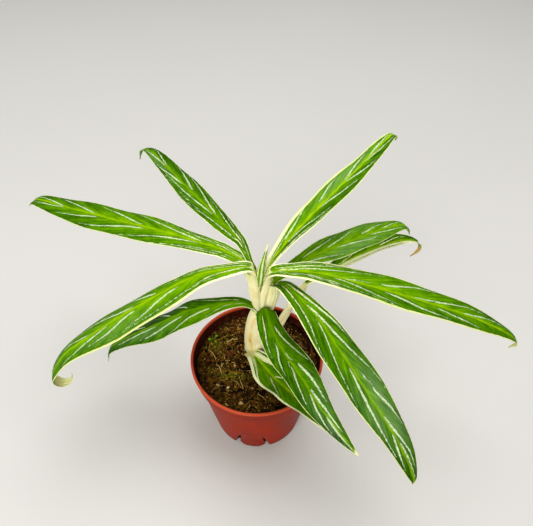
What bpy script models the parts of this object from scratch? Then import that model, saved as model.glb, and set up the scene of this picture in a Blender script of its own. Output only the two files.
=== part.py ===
# A potted aglaonema: long narrow leaves on pale stalks, in a small nursery pot filled with soil.
# The origin is the centre of the pot's base. +Z is up and +Y points away from the front.
# Sizes and places are in millimetres and are turned into metres where a mesh is made.

import bpy
import bmesh
import random
from collections import namedtuple
from math import cos, pi, radians, sin, sqrt, tau
from mathutils import Matrix, Vector, noise

MM = 0.001
GAP = 0.3                  # clearance between pieces that touch

# Pot sizes
POT_HEIGHT = 95.0
RIM_RADIUS = 60.0
LIP_HEIGHT = 2.4
COLLAR_RADIUS = 58.4
SHOULDER_HEIGHT = 80.0     # the collar runs from here up to the lip
BODY_TOP_RADIUS = 55.6
BASE_RADIUS = 42.4
WALL = 1.5
FLOOR = 1.8
POT_SIDES = 44

# Slots round the pot's foot and holes in its floor
LOBES = 4
LOBE_TURN = -97.0          # heading of the first lobe, in degrees
SLOT_SPREAD_LOW = 21.0     # degrees from a lobe's middle to its slot, at the base
SLOT_SPREAD_HIGH = 13.5
SLOT_HEIGHT = 26.0
SLOT_WIDTH = 3.4
DRAIN_HOLES = 6
DRAIN_RADIUS = 4.0
DRAIN_RING = 25.0

# Soil sizes
SOIL_LEVEL = 83.5
SOIL_BUMP = 1.6
SOIL_SIDES = 36
SOIL_RINGS = 6
CHIPS = 18
FIBRES = 14
SEED = 11

# Stems: points along each one, with the half widths across X and Y there
Station = namedtuple("Station", "place half_x half_y")
MAIN_STEM = (
    Station((0.0, 15.0, 60.0), 6.0, 5.0),
    Station((0.0, 14.5, 72.0), 8.6, 6.6),
    Station((-0.5, 14.0, 83.0), 10.0, 7.4),
    Station((-1.0, 13.5, 98.0), 10.4, 7.6),
    Station((-0.2, 13.2, 116.0), 10.2, 7.2),
    Station((2.4, 13.0, 134.0), 10.0, 6.6),
    Station((5.6, 13.0, 147.0), 9.6, 6.2),
    Station((6.0, 13.0, 160.0), 9.2, 5.0),
    Station((6.0, 13.2, 168.0), 5.6, 3.0),
)
SIDE_STEM = (
    Station((10.0, 27.0, 60.0), 3.2, 3.2),
    Station((12.5, 29.5, 72.0), 4.4, 4.2),
    Station((16.0, 32.5, 84.0), 4.6, 4.2),
    Station((24.0, 39.5, 99.0), 4.0, 3.8),
    Station((33.0, 46.5, 112.0), 3.6, 3.4),
)
STALK_RADIUS_LOW = 4.2
STALK_RADIUS_HIGH = 3.1

# Blade sizes that all leaves share
ROWS = 24
MARGIN_THICKNESS = 0.8
RIB_DEPTH = 2.6            # how far the midrib stands out below the blade, at the root
RIB_HALF_WIDTH = 1.8
HALF_DOME = 0.22           # how much each half of a blade domes between midrib and margin
TIP_HALF_WIDTH = 0.7
WAVE_HEIGHT = 0.9
WAVES = 3.4
PULL_REACH = 24.0          # how far along a blade its root's pull is felt

# One row for each leaf. The arch holds (reach, rise) from the blade's root along its heading, the
# drift is how far the tip strays to the leaf's right, and the cup is how far the margins stand above
# the midrib, as a share of the half width, at the root, middle and tip. The stalk's points lead
# from inside the stem to the root. The base is the root's share of the full half width, and a blunt
# tip keeps its width for longer. Left and right are the shares of the half width that each side keeps
# at a quarter, a half and three quarters of the length. The pull is how far the root end of the
# blade's smooth arch is drawn aside to meet its stalk.
Leaf = namedtuple("Leaf", "name root heading arch drift half_width base widest cup blunt stalk left right pull")
LEAVES = (
    Leaf("leaf_left_upper", (-9, 19, 201), 155,
         ((0, 0), (8, 3), (38, 2), (80, 0), (130, -6), (180, -11), (213, -14), (228, -26)),
         0, 17.0, 0.36, 0.52, (-0.1, -0.1, -0.1), 0.6, ((2, 14, 140), (-2, 16, 170)),
         (1, 1, 1), (0.86, 0.9, 0.94), (1, -1, -7)),
    Leaf("leaf_back_left", (0, 21, 199), 128,
         ((0, 0), (7, 5), (28, 6), (60, 8), (110, 11), (150, 14), (171, 11), (184, 2), (192, -12)),
         0, 12.2, 0.22, 0.44, (-0.1, -0.2, -0.1), -0.4, ((3, 15, 140), (1, 18, 170)),
         (1, 0.88, 0.76), (0.9, 1, 1), (1, -1, -7)),
    Leaf("leaf_left_long", (-6, 9, 196), 192,
         ((0, 0), (7, 5), (24, 8), (46, 4), (90, -19), (125, -41), (156, -64), (172, -87),
          (174, -99), (168, -106), (160, -103), (158, -94)),
         0, 17.5, 0.34, 0.42, (-0.1, -0.45, 0.0), 0.2, ((3.6, 12, 136), (-3.4, 10.5, 164)),
         (1, 0.9, 0.8), (0.6, 1, 1), (1, 0, 5)),
    Leaf("leaf_left_low", (-8, 12, 151), 181,
         ((0, 0), (10, 6), (29, 2), (54, -7), (76, -21), (112, -44), (128, -59), (134, -80)),
         0, 15.0, 0.26, 0.42, (-0.1, -0.4, -0.3), 0.0, ((2, 13, 130), (-3, 12, 143)),
         (1, 0.96, 0.84), (1, 1, 1), (3, -2, 3)),
    Leaf("leaf_back_upright", (6, 10, 189), 43,
         ((0, 0), (12, 14), (34, 27), (68, 40), (110, 55), (140, 66), (150, 66), (154, 59)),
         0, 11.6, 0.24, 0.5, (0.4, 0.05, 0.0), 0.7, ((5, 13, 140), (5, 12, 166)),
         (1, 1, 0.8), (0.95, 1, 1), (-1.5, 3.5, -3)),
    Leaf("leaf_back_right", (17, 15, 179), 32,
         ((0, 0), (8, 6), (22, 9), (45, 10), (90, 6), (120, 2), (140, -6), (150, -22)),
         0, 14.0, 0.26, 0.45, (0.0, 0.0, -0.1), 0.0, ((6, 14, 138), (11, 15, 160)),
         (1, 1, 1), (1, 1, 1), (-2, 1, -1)),
    Leaf("leaf_side_shoot", (41, 53, 123), 24,
         ((0, 0), (7, 8), (30, 15), (54, 22), (91, 25), (114, 21), (129, 11), (131, 1), (123, -5)),
         0, 9.4, 0.24, 0.5, (0.3, 0.4, 0.2), 0.0, ((28, 42.5, 105), (35, 48, 114.5)),
         (1, 1, 1), (1, 0.8, 0.85), (0, 0, 0)),
    Leaf("leaf_right_long", (12, 7, 191), -10,
         ((0, 0), (14, 11), (35, 14), (72, 8), (125, -4), (162, -15), (190, -28), (200, -38),
          (196, -45)),
         0, 16.5, 0.36, 0.5, (0.1, -0.08, -0.1), 0.2, ((4.4, 11.5, 138), (8.4, 10.5, 166)),
         (1, 1, 1), (0.85, 0.8, 0.85), (-1.5, 0, 6)),
    Leaf("leaf_front_right", (18, 7, 180), -52,
         ((0, 0), (14, 11), (46, 9), (73, -4), (123, -32), (147, -49), (161, -67), (163, -76)),
         0, 16.8, 0.3, 0.52, (0.0, -0.05, -0.1), 0.4, ((8.5, 12, 134), (16.5, 10, 161)),
         (0.84, 1, 1), (1.12, 0.92, 0.82), (-3.4, 0, 5)),
    Leaf("leaf_front", (5.5, 5.5, 150), -73,
         ((0, 0), (9, 6), (37, 4), (73, 5), (97, -1), (118, -6), (136, -10)),
         -30, 13.8, 0.52, 0.45, (-0.7, 0.35, 0.1), 0.0, ((2.5, 13, 128), (4.6, 9.5, 141)),
         (1, 1, 0.8), (1, 1, 1), (0.5, 0, 6)),
    Leaf("leaf_front_low", (-6.5, 4, 93), -54,
         ((0, 0), (10, 5), (33, 5), (59, 12), (78, 18), (96, 20), (108, 18)),
         0, 14.0, 0.36, 0.45, (0.3, 0.2, 0.0), 0.0, ((-1, 13, 86), (-4.5, 8.5, 89)),
         (1.1, 1, 1), (1.14, 0.9, 0.9), (0.5, -2, 1)),
)

# The new leaf, still rolled, between the upright leaf and the left ones
SPEAR_STALK = ((4, 13, 150), (3.2, 10.0, 168), (2.2, 7.6, 181))
SPEAR = ((2.2, 7.6, 181), (3.6, 7.0, 192), (6.2, 7.0, 209), (8.4, 7.6, 220), (10.4, 8.0, 230))
SPEAR_HALF_WIDTHS = (1.9, 2.8, 2.5, 1.3, 0.5)


def remove_scene_objects():
    """Empty the scene that the file opens with."""
    for item in list(bpy.data.objects):
        bpy.data.objects.remove(item)


def material(name, colour, roughness):
    """A plain finish for one kind of piece."""
    finish = bpy.data.materials.new(name)
    finish.use_nodes = True
    shader = finish.node_tree.nodes["Principled BSDF"]
    shader.inputs["Base Color"].default_value = (*colour, 1.0)
    shader.inputs["Roughness"].default_value = roughness
    shader.inputs["Metallic"].default_value = 0.0
    return finish


def make_object(name, corners, faces, finish=None):
    """An object from corners in millimetres, with its faces turned outwards."""
    mesh = bpy.data.meshes.new(name)
    mesh.from_pydata([Vector(corner) * MM for corner in corners], [], faces)
    shape = bmesh.new()
    shape.from_mesh(mesh)
    bmesh.ops.recalc_face_normals(shape, faces=shape.faces)
    shape.to_mesh(mesh)
    shape.free()
    made = bpy.data.objects.new(name, mesh)
    bpy.context.collection.objects.link(made)
    if finish:
        mesh.materials.append(finish)
    return made


def smooth_path(points, count, ease=0.0, before=None, after=None):
    """Count points along a smooth curve through the given ones. Ease packs them towards both ends."""
    knots = [Vector(point) for point in points]
    first = Vector(before) if before else 2 * knots[0] - knots[1]
    last = Vector(after) if after else 2 * knots[-1] - knots[-2]
    knots = [first] + knots + [last]
    steps = 20
    line = []
    for k in range(1, len(knots) - 2):
        a, b, c, d = knots[k - 1:k + 3]
        for step in range(steps):
            t = step / steps
            line.append(0.5 * (2 * b + (c - a) * t + (2 * a - 5 * b + 4 * c - d) * t * t
                               + (3 * b - a - 3 * c + d) * t ** 3))
    line.append(knots[-2])
    lengths = [0.0]
    for k in range(1, len(line)):
        lengths.append(lengths[-1] + (line[k] - line[k - 1]).length)
    spread = []
    k = 0
    for row in range(count):
        u = row / (count - 1)
        share = (1 - ease) * u + ease * (0.5 - 0.5 * cos(pi * u))
        want = share * lengths[-1]
        while k < len(line) - 2 and lengths[k + 1] < want:
            k += 1
        part = (want - lengths[k]) / (lengths[k + 1] - lengths[k])
        spread.append((share, line[k].lerp(line[k + 1], part)))
    return spread


def between(values, t):
    """A value that runs through three given ones at the start, middle and end."""
    low, middle, high = values
    if t < 0.5:
        return low + (middle - low) * 2 * t
    return middle + (high - middle) * (2 * t - 1)


def blade_half_width(leaf, t):
    """Half width of a blade at a share t of its length."""
    if t < leaf.widest:
        share = leaf.base + (1 - leaf.base) * sin(t / leaf.widest * pi / 2) ** 1.3
    else:
        share = cos((t - leaf.widest) / (1 - leaf.widest) * pi / 2) ** (0.85 - 0.4 * leaf.blunt)
    return max(leaf.half_width * share, TIP_HALF_WIDTH)


def kept_share(shares, t):
    """The share of its half width that one side of a blade keeps, at a share t of its length."""
    knots = (1, *shares, shares[-1])
    at = min(int(t * 4), 3)
    return knots[at] + (knots[at + 1] - knots[at]) * (t * 4 - at)


def smooth_step(share):
    """0 at or below 0 and 1 at or above 1, with a smooth rise between them."""
    share = min(max(share, 0.0), 1.0)
    return share * share * (3 - 2 * share)


def blade_frames(leaf, count):
    """Along a blade's midrib: the share of its length, the place, and the tangent, right and up there."""
    heading = radians(leaf.heading)
    outward = Vector((cos(heading), sin(heading), 0))
    right = Vector((sin(heading), -cos(heading), 0))
    furthest = max(reach for reach, rise in leaf.arch)
    path = smooth_path([(reach, rise, 0) for reach, rise in leaf.arch], count, ease=0.6)
    places = []
    for share, point in path:
        drift = leaf.drift * (point.x / furthest) ** 2
        places.append(Vector(leaf.root) + outward * point.x + right * drift + Vector((0, 0, point.y)))
    frames = []
    along = 0.0
    for row in range(count):
        tangent = (places[min(row + 1, count - 1)] - places[max(row - 1, 0)]).normalized()
        side = (right - tangent * right.dot(tangent)).normalized()
        along += (places[row] - places[max(row - 1, 0)]).length
        pulled = places[row] + Vector(leaf.pull) * (1 - smooth_step(along / PULL_REACH))
        frames.append((path[row][0], pulled, tangent, side, side.cross(tangent)))
    return frames


def blade(leaf, finish):
    """A closed blade whose upper and lower faces are split into the same triangles."""
    frames = blade_frames(leaf, ROWS)
    seat = frames[0][2] * GAP
    phase = leaf.heading * 0.07
    upper = []
    lower = []
    for t, place, tangent, side, up in frames:
        full_width = blade_half_width(leaf, t)
        cup = between(leaf.cup, t)
        rib_width = min(RIB_HALF_WIDTH * (1 - 0.7 * t), 0.5 * full_width)
        rib_share = rib_width / full_width
        quarter = (1 + rib_share) / 2
        for v in (-1, -quarter, -rib_share, 0, rib_share, quarter, 1):
            width = full_width * kept_share(leaf.left if v < 0 else leaf.right, t)
            rise = width * ((cup + HALF_DOME) * abs(v) - HALF_DOME * v * v)
            wave = WAVE_HEIGHT * v * v * sin(pi * t) * sin(tau * WAVES * t + phase + 1.3 * v)
            depth = MARGIN_THICKNESS
            if abs(v) < quarter:
                depth += RIB_DEPTH * (1 - t) ** 1.6 * (1.0 if v == 0 else 0.72)
            top = place + seat + side * (v * width) + up * (rise + wave)
            upper.append(top)
            lower.append(top - up * depth)
    columns = 7
    below = len(upper)
    faces = []
    for row in range(ROWS - 1):
        for column in range(columns - 1):
            a = row * columns + column
            b = a + 1
            c = a + columns + 1
            d = a + columns
            faces.append((a, b, c))
            faces.append((a, c, d))
            faces.append((below + a, below + c, below + b))
            faces.append((below + a, below + d, below + c))
        for edge in (row * columns, row * columns + columns - 1):
            faces.append((edge, edge + columns, below + edge + columns, below + edge))
    for end in (0, (ROWS - 1) * columns):
        for column in range(columns - 1):
            a = end + column
            faces.append((a, a + 1, below + a + 1, below + a))
    return make_object(leaf.name, upper + lower, faces, finish)


def ringed_tube(name, rings):
    """A closed tube through rings of corners, with a cap over each end."""
    sides = len(rings[0])
    corners = [corner for ring in rings for corner in ring]
    faces = [tuple(range(sides)), tuple(range(len(corners) - sides, len(corners)))]
    for row in range(len(rings) - 1):
        for side in range(sides):
            a = row * sides + side
            b = row * sides + (side + 1) % sides
            faces.append((a, b, b + sides, a + sides))
    return make_object(name, corners, faces)


def oval(place, across, along, half_across, half_along, sides):
    """Corners of an oval ring round a place."""
    corners = []
    for k in range(sides):
        turn = tau * k / sides
        corners.append(place + across * (half_across * cos(turn)) + along * (half_along * sin(turn)))
    return corners


def stem(name, stations, count, grow=0.0, sides=14):
    """An upright stem through its stations. Grow widens it, for the hole that it stands in."""
    rings = []
    for share, row in smooth_path([(*station.place, station.half_x, station.half_y) for station in stations],
                                  count):
        half_x = row[3] + grow
        half_y = row[4] + grow
        rings.append(oval(Vector(row[:3]), Vector((1, 0, 0)), Vector((0, 1, 0)), half_x, half_y, sides))
    return ringed_tube(name, rings)


def stalk(leaf, count=7, sides=8):
    """A leaf's stalk from inside the stem to the blade's root, where it ends square to the blade."""
    tangent, side, up = blade_frames(leaf, ROWS)[0][2:]
    points = list(leaf.stalk) + [leaf.root]
    path = smooth_path(points, count, after=Vector(leaf.root) + tangent * 9)
    path = [(share, place + Vector(leaf.pull) * smooth_step(share)) for share, place in path]
    rings = []
    for row, (share, place) in enumerate(path):
        if row == count - 1:
            along = tangent
        else:
            along = (path[row + 1][1] - path[max(row - 1, 0)][1]).normalized()
        across = (side - along * side.dot(along)).normalized()
        outer = across.cross(along)
        radius = STALK_RADIUS_LOW + (STALK_RADIUS_HIGH - STALK_RADIUS_LOW) * share
        centre = place - outer * (1.5 * share ** 3)
        rings.append(oval(centre, across, outer, radius, radius * (1 - 0.3 * share), sides))
    return ringed_tube(leaf.name + "_stalk", rings)


def spindle(name, points, half_widths, count, sides, lift=0.0, before=None, after=None):
    """A round tapering piece along a path. Lift moves it on along itself, clear of what it grows from."""
    path = smooth_path(points, count, before=before, after=after)
    last = len(half_widths) - 1
    rings = []
    for row, (share, place) in enumerate(path):
        along = (path[min(row + 1, count - 1)][1] - path[max(row - 1, 0)][1]).normalized()
        across = Vector((0, -1, 0)).cross(along).normalized()
        at = min(int(share * last), last - 1)
        radius = half_widths[at] + (half_widths[at + 1] - half_widths[at]) * (share * last - at)
        rings.append(oval(place + along * lift, across, across.cross(along), radius, radius, sides))
    return ringed_tube(name, rings)


def keep_largest_body(mesh):
    """Drop loose scraps and sealed hollows, so that one body is left."""
    shape = bmesh.new()
    shape.from_mesh(mesh)
    bodies = []
    left = set(shape.verts)
    while left:
        body = set()
        edge = [left.pop()]
        while edge:
            corner = edge.pop()
            body.add(corner)
            for link in corner.link_edges:
                other = link.other_vert(corner)
                if other in left:
                    left.remove(other)
                    edge.append(other)
        bodies.append(body)
    largest = max(bodies, key=len)
    scraps = [corner for body in bodies if body is not largest for corner in body]
    bmesh.ops.delete(shape, geom=scraps, context="VERTS")
    bmesh.ops.triangulate(shape, faces=shape.faces)
    shape.to_mesh(mesh)
    shape.free()


def combine(target, pieces, operation):
    """Join or cut the target with the pieces, in one Boolean, and remove the pieces."""
    group = bpy.data.collections.new(target.name + "_pieces")
    bpy.context.scene.collection.children.link(group)
    for piece in pieces:
        group.objects.link(piece)
    step = target.modifiers.new(operation.lower(), "BOOLEAN")
    step.operation = operation
    step.operand_type = "COLLECTION"
    step.collection = group
    step.solver = "EXACT"
    bpy.context.view_layer.update()
    evaluated = target.evaluated_get(bpy.context.evaluated_depsgraph_get())
    joined = bpy.data.meshes.new_from_object(evaluated)
    target.modifiers.clear()
    target.data = joined
    for piece in pieces:
        bpy.data.objects.remove(piece)
    bpy.data.collections.remove(group)
    keep_largest_body(target.data)


def shade_smooth(piece, angle=35):
    """Smooth shading with creases at sharp edges."""
    piece.data.shade_smooth()
    piece.data.set_sharp_from_angle(angle=radians(angle))


def body_radius(height):
    """Outer radius of the pot's tapering body."""
    return BASE_RADIUS + (BODY_TOP_RADIUS - BASE_RADIUS) * height / SHOULDER_HEIGHT


def turned(name, profile, sides, finish=None):
    """A solid of revolution whose profile starts and ends on the axis."""
    corners = [Vector((0, 0, profile[0][1]))]
    for radius, height in profile[1:-1]:
        for k in range(sides):
            angle = tau * k / sides
            corners.append(Vector((radius * cos(angle), radius * sin(angle), height)))
    corners.append(Vector((0, 0, profile[-1][1])))
    last = len(corners) - 1
    rings = len(profile) - 2
    faces = []
    for k in range(sides):
        following = (k + 1) % sides
        faces.append((0, 1 + following, 1 + k))
        for ring in range(rings - 1):
            a = 1 + ring * sides + k
            b = 1 + ring * sides + following
            faces.append((a, b, b + sides, a + sides))
        faces.append((last, 1 + (rings - 1) * sides + k, 1 + (rings - 1) * sides + following))
    return make_object(name, corners, faces, finish)


def pot_profile():
    """The pot's outline from the middle of its base, up the outside, and down the inside."""
    lip_low = POT_HEIGHT - LIP_HEIGHT
    inner_floor = body_radius(FLOOR) - WALL
    return (
        (0, 0),
        (BASE_RADIUS - 3, 0),
        (BASE_RADIUS - 0.8, 0.3),
        (body_radius(1.2), 1.2),
        (body_radius(26), 26),
        (body_radius(52), 52),
        (body_radius(SHOULDER_HEIGHT - 1.5), SHOULDER_HEIGHT - 1.5),
        (COLLAR_RADIUS - 0.9, SHOULDER_HEIGHT),
        (COLLAR_RADIUS, lip_low - 0.6),
        (RIM_RADIUS - 0.5, lip_low),
        (RIM_RADIUS, lip_low + 0.7),
        (RIM_RADIUS - 0.4, POT_HEIGHT - 0.3),
        (RIM_RADIUS - 1.2, POT_HEIGHT),
        (COLLAR_RADIUS - WALL + 0.2, POT_HEIGHT - 0.5),
        (COLLAR_RADIUS - WALL - 0.9, SHOULDER_HEIGHT + 0.9),
        (body_radius(SHOULDER_HEIGHT - 0.6) - WALL, SHOULDER_HEIGHT - 0.6),
        (body_radius(40) - WALL, 40),
        (inner_floor, FLOOR + 1.0),
        (inner_floor - 1.0, FLOOR),
        (0, FLOOR),
    )


def foot_slot(lobe, hand):
    """A wedge that cuts one slot through the pot's wall, beside a lobe of its foot."""
    middle = LOBE_TURN + 360 / LOBES * lobe
    low = radians(middle + hand * SLOT_SPREAD_LOW)
    high = radians(middle + hand * SLOT_SPREAD_HIGH)
    spread = SLOT_WIDTH / 2 / BASE_RADIUS
    corners = []
    for radius in (BASE_RADIUS - 5.5, BASE_RADIUS + 6):
        for angle, height in ((low - spread, -1), (low + spread, -1), (high + 0.008, SLOT_HEIGHT),
                              (high - 0.008, SLOT_HEIGHT)):
            corners.append(Vector((radius * cos(angle), radius * sin(angle), height)))
    faces = [(0, 1, 2, 3), (4, 5, 6, 7), (0, 1, 5, 4), (1, 2, 6, 5), (2, 3, 7, 6), (3, 0, 4, 7)]
    return make_object("slot", corners, faces)


def drain_hole(number):
    """A peg that cuts one round hole through the pot's floor."""
    angle = tau * (number + 0.5) / DRAIN_HOLES
    middle = Vector((DRAIN_RING * cos(angle), DRAIN_RING * sin(angle), 0))
    rings = [oval(middle + Vector((0, 0, height)), Vector((1, 0, 0)), Vector((0, 1, 0)), DRAIN_RADIUS,
                  DRAIN_RADIUS, 12) for height in (-1, FLOOR + 1)]
    return ringed_tube("drain", rings)


def make_pot():
    """The thin nursery pot with its lip, collar, slotted foot and drain holes."""
    pot = turned("pot", pot_profile(), POT_SIDES, material("pot_plastic", (0.48, 0.10, 0.05), 0.45))
    cutters = [foot_slot(lobe, hand) for lobe in range(LOBES) for hand in (-1, 1)]
    cutters += [drain_hole(number) for number in range(DRAIN_HOLES)]
    combine(pot, cutters, "DIFFERENCE")
    shade_smooth(pot)


def soil_height(x, y):
    """Height of the soil's lumpy surface."""
    lump = noise.noise(Vector((x, y, 3.0)) * 0.055) + 0.5 * noise.noise(Vector((x, y, 9.0)) * 0.16)
    return SOIL_LEVEL + SOIL_BUMP * lump


def soil_side():
    """The soil's side from its foot up to its edge, clear of the pot's inside."""
    foot = FLOOR + GAP
    return (
        (body_radius(FLOOR) - WALL - 1.0 - GAP, foot),
        (body_radius(foot + 1.2) - WALL - GAP, foot + 1.2),
        (body_radius(40) - WALL - GAP, 40),
        (body_radius(SHOULDER_HEIGHT - 1.0) - WALL - GAP - 0.1, SHOULDER_HEIGHT - 1.0),
        (body_radius(SHOULDER_HEIGHT) - WALL - GAP, SHOULDER_HEIGHT + 0.5),
        (COLLAR_RADIUS - WALL - 0.9 - GAP - 0.5, SHOULDER_HEIGHT + 1.8),
    )


def near_shoots(x, y, reach):
    """Whether a place on the soil is close to a shoot."""
    shoots = ((-0.5, 14.0, 10.0), (16.0, 32.5, 5.0))
    return any(sqrt((x - sx) ** 2 + (y - sy) ** 2) < radius + reach for sx, sy, radius in shoots)


def soil_place(draw, reach):
    """A drawn place on the soil, clear of the shoots and the wall."""
    while True:
        angle = draw.uniform(0, tau)
        radius = 49 * sqrt(draw.random())
        x = radius * cos(angle)
        y = radius * sin(angle)
        if not near_shoots(x, y, reach):
            return x, y


def bark_chip(draw):
    """An uneven chip of bark, sunk half way into the soil."""
    x, y = soil_place(draw, 6)
    size = Vector((draw.uniform(1.6, 4.0), draw.uniform(1.2, 2.4), draw.uniform(0.9, 1.6)))
    turn = Matrix.Rotation(draw.uniform(0, pi), 3, "Z") @ Matrix.Rotation(draw.uniform(-0.4, 0.4), 3, "X")
    corners = []
    for a, b, c in ((-1, -1, -1), (1, -1, -1), (1, 1, -1), (-1, 1, -1), (-1, -1, 1), (1, -1, 1), (1, 1, 1),
                    (-1, 1, 1)):
        taper = draw.uniform(0.6, 1.0)
        corner = turn @ Vector((a * size.x * taper, b * size.y * taper, c * size.z))
        corners.append(Vector((x, y, soil_height(x, y) + 0.1)) + corner)
    faces = [(0, 1, 2, 3), (4, 5, 6, 7), (0, 1, 5, 4), (1, 2, 6, 5), (2, 3, 7, 6), (3, 0, 4, 7)]
    return make_object("chip", corners, faces)


def peat_fibre(draw):
    """A bent fibre that lies on the soil with both ends sunk in."""
    x, y = soil_place(draw, 10)
    angle = draw.uniform(0, tau)
    length = draw.uniform(4, 8)
    ahead = Vector((cos(angle), sin(angle), 0)) * length
    bend = Vector((-sin(angle), cos(angle), 0)) * draw.uniform(-1.5, 1.5)
    middle = Vector((x, y, soil_height(x, y) + draw.uniform(0.3, 0.8)))
    ends = [middle - ahead + bend, middle + ahead + bend]
    for end in ends:
        reach = sqrt(end.x ** 2 + end.y ** 2)
        if reach > 51:
            end.xy = end.xy * (51 / reach)
        end.z = soil_height(end.x, end.y) - 1.2
    return spindle("fibre", (ends[0], middle, ends[1]), (0.5, 0.75, 0.5), 5, 4)


def make_soil():
    """The soil plug with chips and fibres on it, and a plain hole for each shoot."""
    side = soil_side()
    edge = side[-1][0]
    corners = [Vector((0, 0, side[0][1]))]
    for radius, height in side:
        for k in range(SOIL_SIDES):
            corners.append(Vector((radius * cos(tau * k / SOIL_SIDES), radius * sin(tau * k / SOIL_SIDES),
                                   height)))
    for ring in range(1, SOIL_RINGS):
        radius = edge * (1 - ring / SOIL_RINGS)
        for k in range(SOIL_SIDES):
            x = radius * cos(tau * k / SOIL_SIDES)
            y = radius * sin(tau * k / SOIL_SIDES)
            corners.append(Vector((x, y, soil_height(x, y))))
    corners.append(Vector((0, 0, soil_height(0, 0))))
    last = len(corners) - 1
    rings = len(side) + SOIL_RINGS - 1
    faces = []
    for k in range(SOIL_SIDES):
        following = (k + 1) % SOIL_SIDES
        faces.append((0, 1 + following, 1 + k))
        for ring in range(rings - 1):
            a = 1 + ring * SOIL_SIDES + k
            b = 1 + ring * SOIL_SIDES + following
            faces.append((a, b, b + SOIL_SIDES))
            faces.append((a, b + SOIL_SIDES, a + SOIL_SIDES))
        faces.append((last, 1 + (rings - 1) * SOIL_SIDES + k, 1 + (rings - 1) * SOIL_SIDES + following))
    soil = make_object("soil", corners, faces, material("peat", (0.06, 0.035, 0.02), 0.95))
    draw = random.Random(SEED)
    extras = [bark_chip(draw) for number in range(CHIPS)]
    extras += [peat_fibre(draw) for number in range(FIBRES)]
    combine(soil, extras, "UNION")
    holes = [stem("hole", MAIN_STEM[:5], 12, grow=GAP), stem("hole", SIDE_STEM[:4], 10, grow=GAP, sides=10)]
    for hole, stations in zip(holes, (MAIN_STEM, SIDE_STEM)):
        deepen = stations[0].place[2] - GAP
        for corner in hole.data.vertices:
            if corner.co.z < (stations[0].place[2] + 0.01) * MM:
                corner.co.z = deepen * MM
    combine(soil, holes, "DIFFERENCE")
    shade_smooth(soil, 50)


def make_shoots(finish):
    """The two pale shoots, each a stem with the stalks that grow from it."""
    main = stem("main_shoot", MAIN_STEM, 21)
    side = stem("side_shoot", SIDE_STEM, 14, sides=10)
    main_stalks = [stalk(leaf) for leaf in LEAVES if leaf.name != "leaf_side_shoot"]
    main_stalks.append(spindle("rolled_stalk", SPEAR_STALK, (3.2, 2.1), 8, 8, after=SPEAR[1]))
    side_stalks = [stalk(leaf) for leaf in LEAVES if leaf.name == "leaf_side_shoot"]
    for shoot, stalks in ((main, main_stalks), (side, side_stalks)):
        combine(shoot, stalks, "UNION")
        shoot.data.materials.clear()
        shoot.data.materials.append(finish)
        shade_smooth(shoot, 50)


def make_leaves(finish):
    """Every open blade, and the rolled new leaf."""
    for leaf in LEAVES:
        shade_smooth(blade(leaf, finish), 40)
    spear = spindle("leaf_rolled", SPEAR, SPEAR_HALF_WIDTHS, 12, 8, lift=GAP, before=SPEAR_STALK[-2])
    spear.data.materials.append(finish)
    shade_smooth(spear, 50)


remove_scene_objects()
make_pot()
make_soil()
make_shoots(material("pale_stalk", (0.78, 0.74, 0.48), 0.4))
make_leaves(material("leaf_green", (0.10, 0.33, 0.03), 0.35))
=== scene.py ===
# The look of a potted aglaonema: streaked narrow leaves on ivory stalks, in a terracotta coloured pot.
# The frame is in metres, with the pot's base centre at the origin, +Z up and +Y away from the front.
# Shapes here are worked out in millimetres and turned into metres where a mesh is made.

import random
from collections import namedtuple
from math import atan2, cos, pi, radians, sin, sqrt, tau

import bmesh
import bpy
import numpy as np
from mathutils import Matrix, Vector, noise


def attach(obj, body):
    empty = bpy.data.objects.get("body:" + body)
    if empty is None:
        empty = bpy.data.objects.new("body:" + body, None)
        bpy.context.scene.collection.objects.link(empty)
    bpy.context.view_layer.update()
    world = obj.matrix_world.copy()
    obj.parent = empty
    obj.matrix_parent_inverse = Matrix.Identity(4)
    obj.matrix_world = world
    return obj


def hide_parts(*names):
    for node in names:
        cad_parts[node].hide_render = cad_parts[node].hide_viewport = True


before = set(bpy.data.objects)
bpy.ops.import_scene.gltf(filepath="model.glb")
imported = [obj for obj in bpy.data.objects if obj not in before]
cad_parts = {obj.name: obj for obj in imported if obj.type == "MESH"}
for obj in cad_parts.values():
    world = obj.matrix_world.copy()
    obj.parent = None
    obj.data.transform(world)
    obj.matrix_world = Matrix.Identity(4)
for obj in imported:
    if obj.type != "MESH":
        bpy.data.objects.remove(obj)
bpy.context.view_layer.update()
MM = 0.001

# The photograph's frame and the camera that took it
PHOTO_WIDTH = 533
FOCAL_PIXELS = 560
SENSOR_WIDTH = 36.0
CAMERA_PLACE = (0.0088, -0.290, 0.521)
CAMERA_TILT = 43.6         # degrees up from looking straight down

# Pot sizes
POT_HEIGHT = 95.0
RIM_RADIUS = 60.0
LIP_HEIGHT = 2.4
COLLAR_RADIUS = 58.4
SHOULDER_HEIGHT = 80.0
BODY_TOP_RADIUS = 55.6
BASE_RADIUS = 42.4
WALL = 1.5
FLOOR = 1.8
POT_SIDES = 176

# Slots round the pot's foot and holes in its floor
LOBES = 4
LOBE_TURN = -97.0          # degrees round to the middle of the first lobe
SLOT_SPREAD_LOW = 21.0     # degrees from a lobe's middle to its slots, at their feet
SLOT_SPREAD_HIGH = 13.5    # and at their tops
SLOT_HEIGHT = 26.0
SLOT_WIDTH = 3.4
FOLD_DEPTH = 2.6           # how far the wall bends in beside a slot
LOBE_FOLD_WIDTH = 5.0
WALL_FOLD_WIDTH = 1.4
DRAIN_HOLES = 6
DRAIN_RADIUS = 4.0
DRAIN_RING = 25.0

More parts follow.
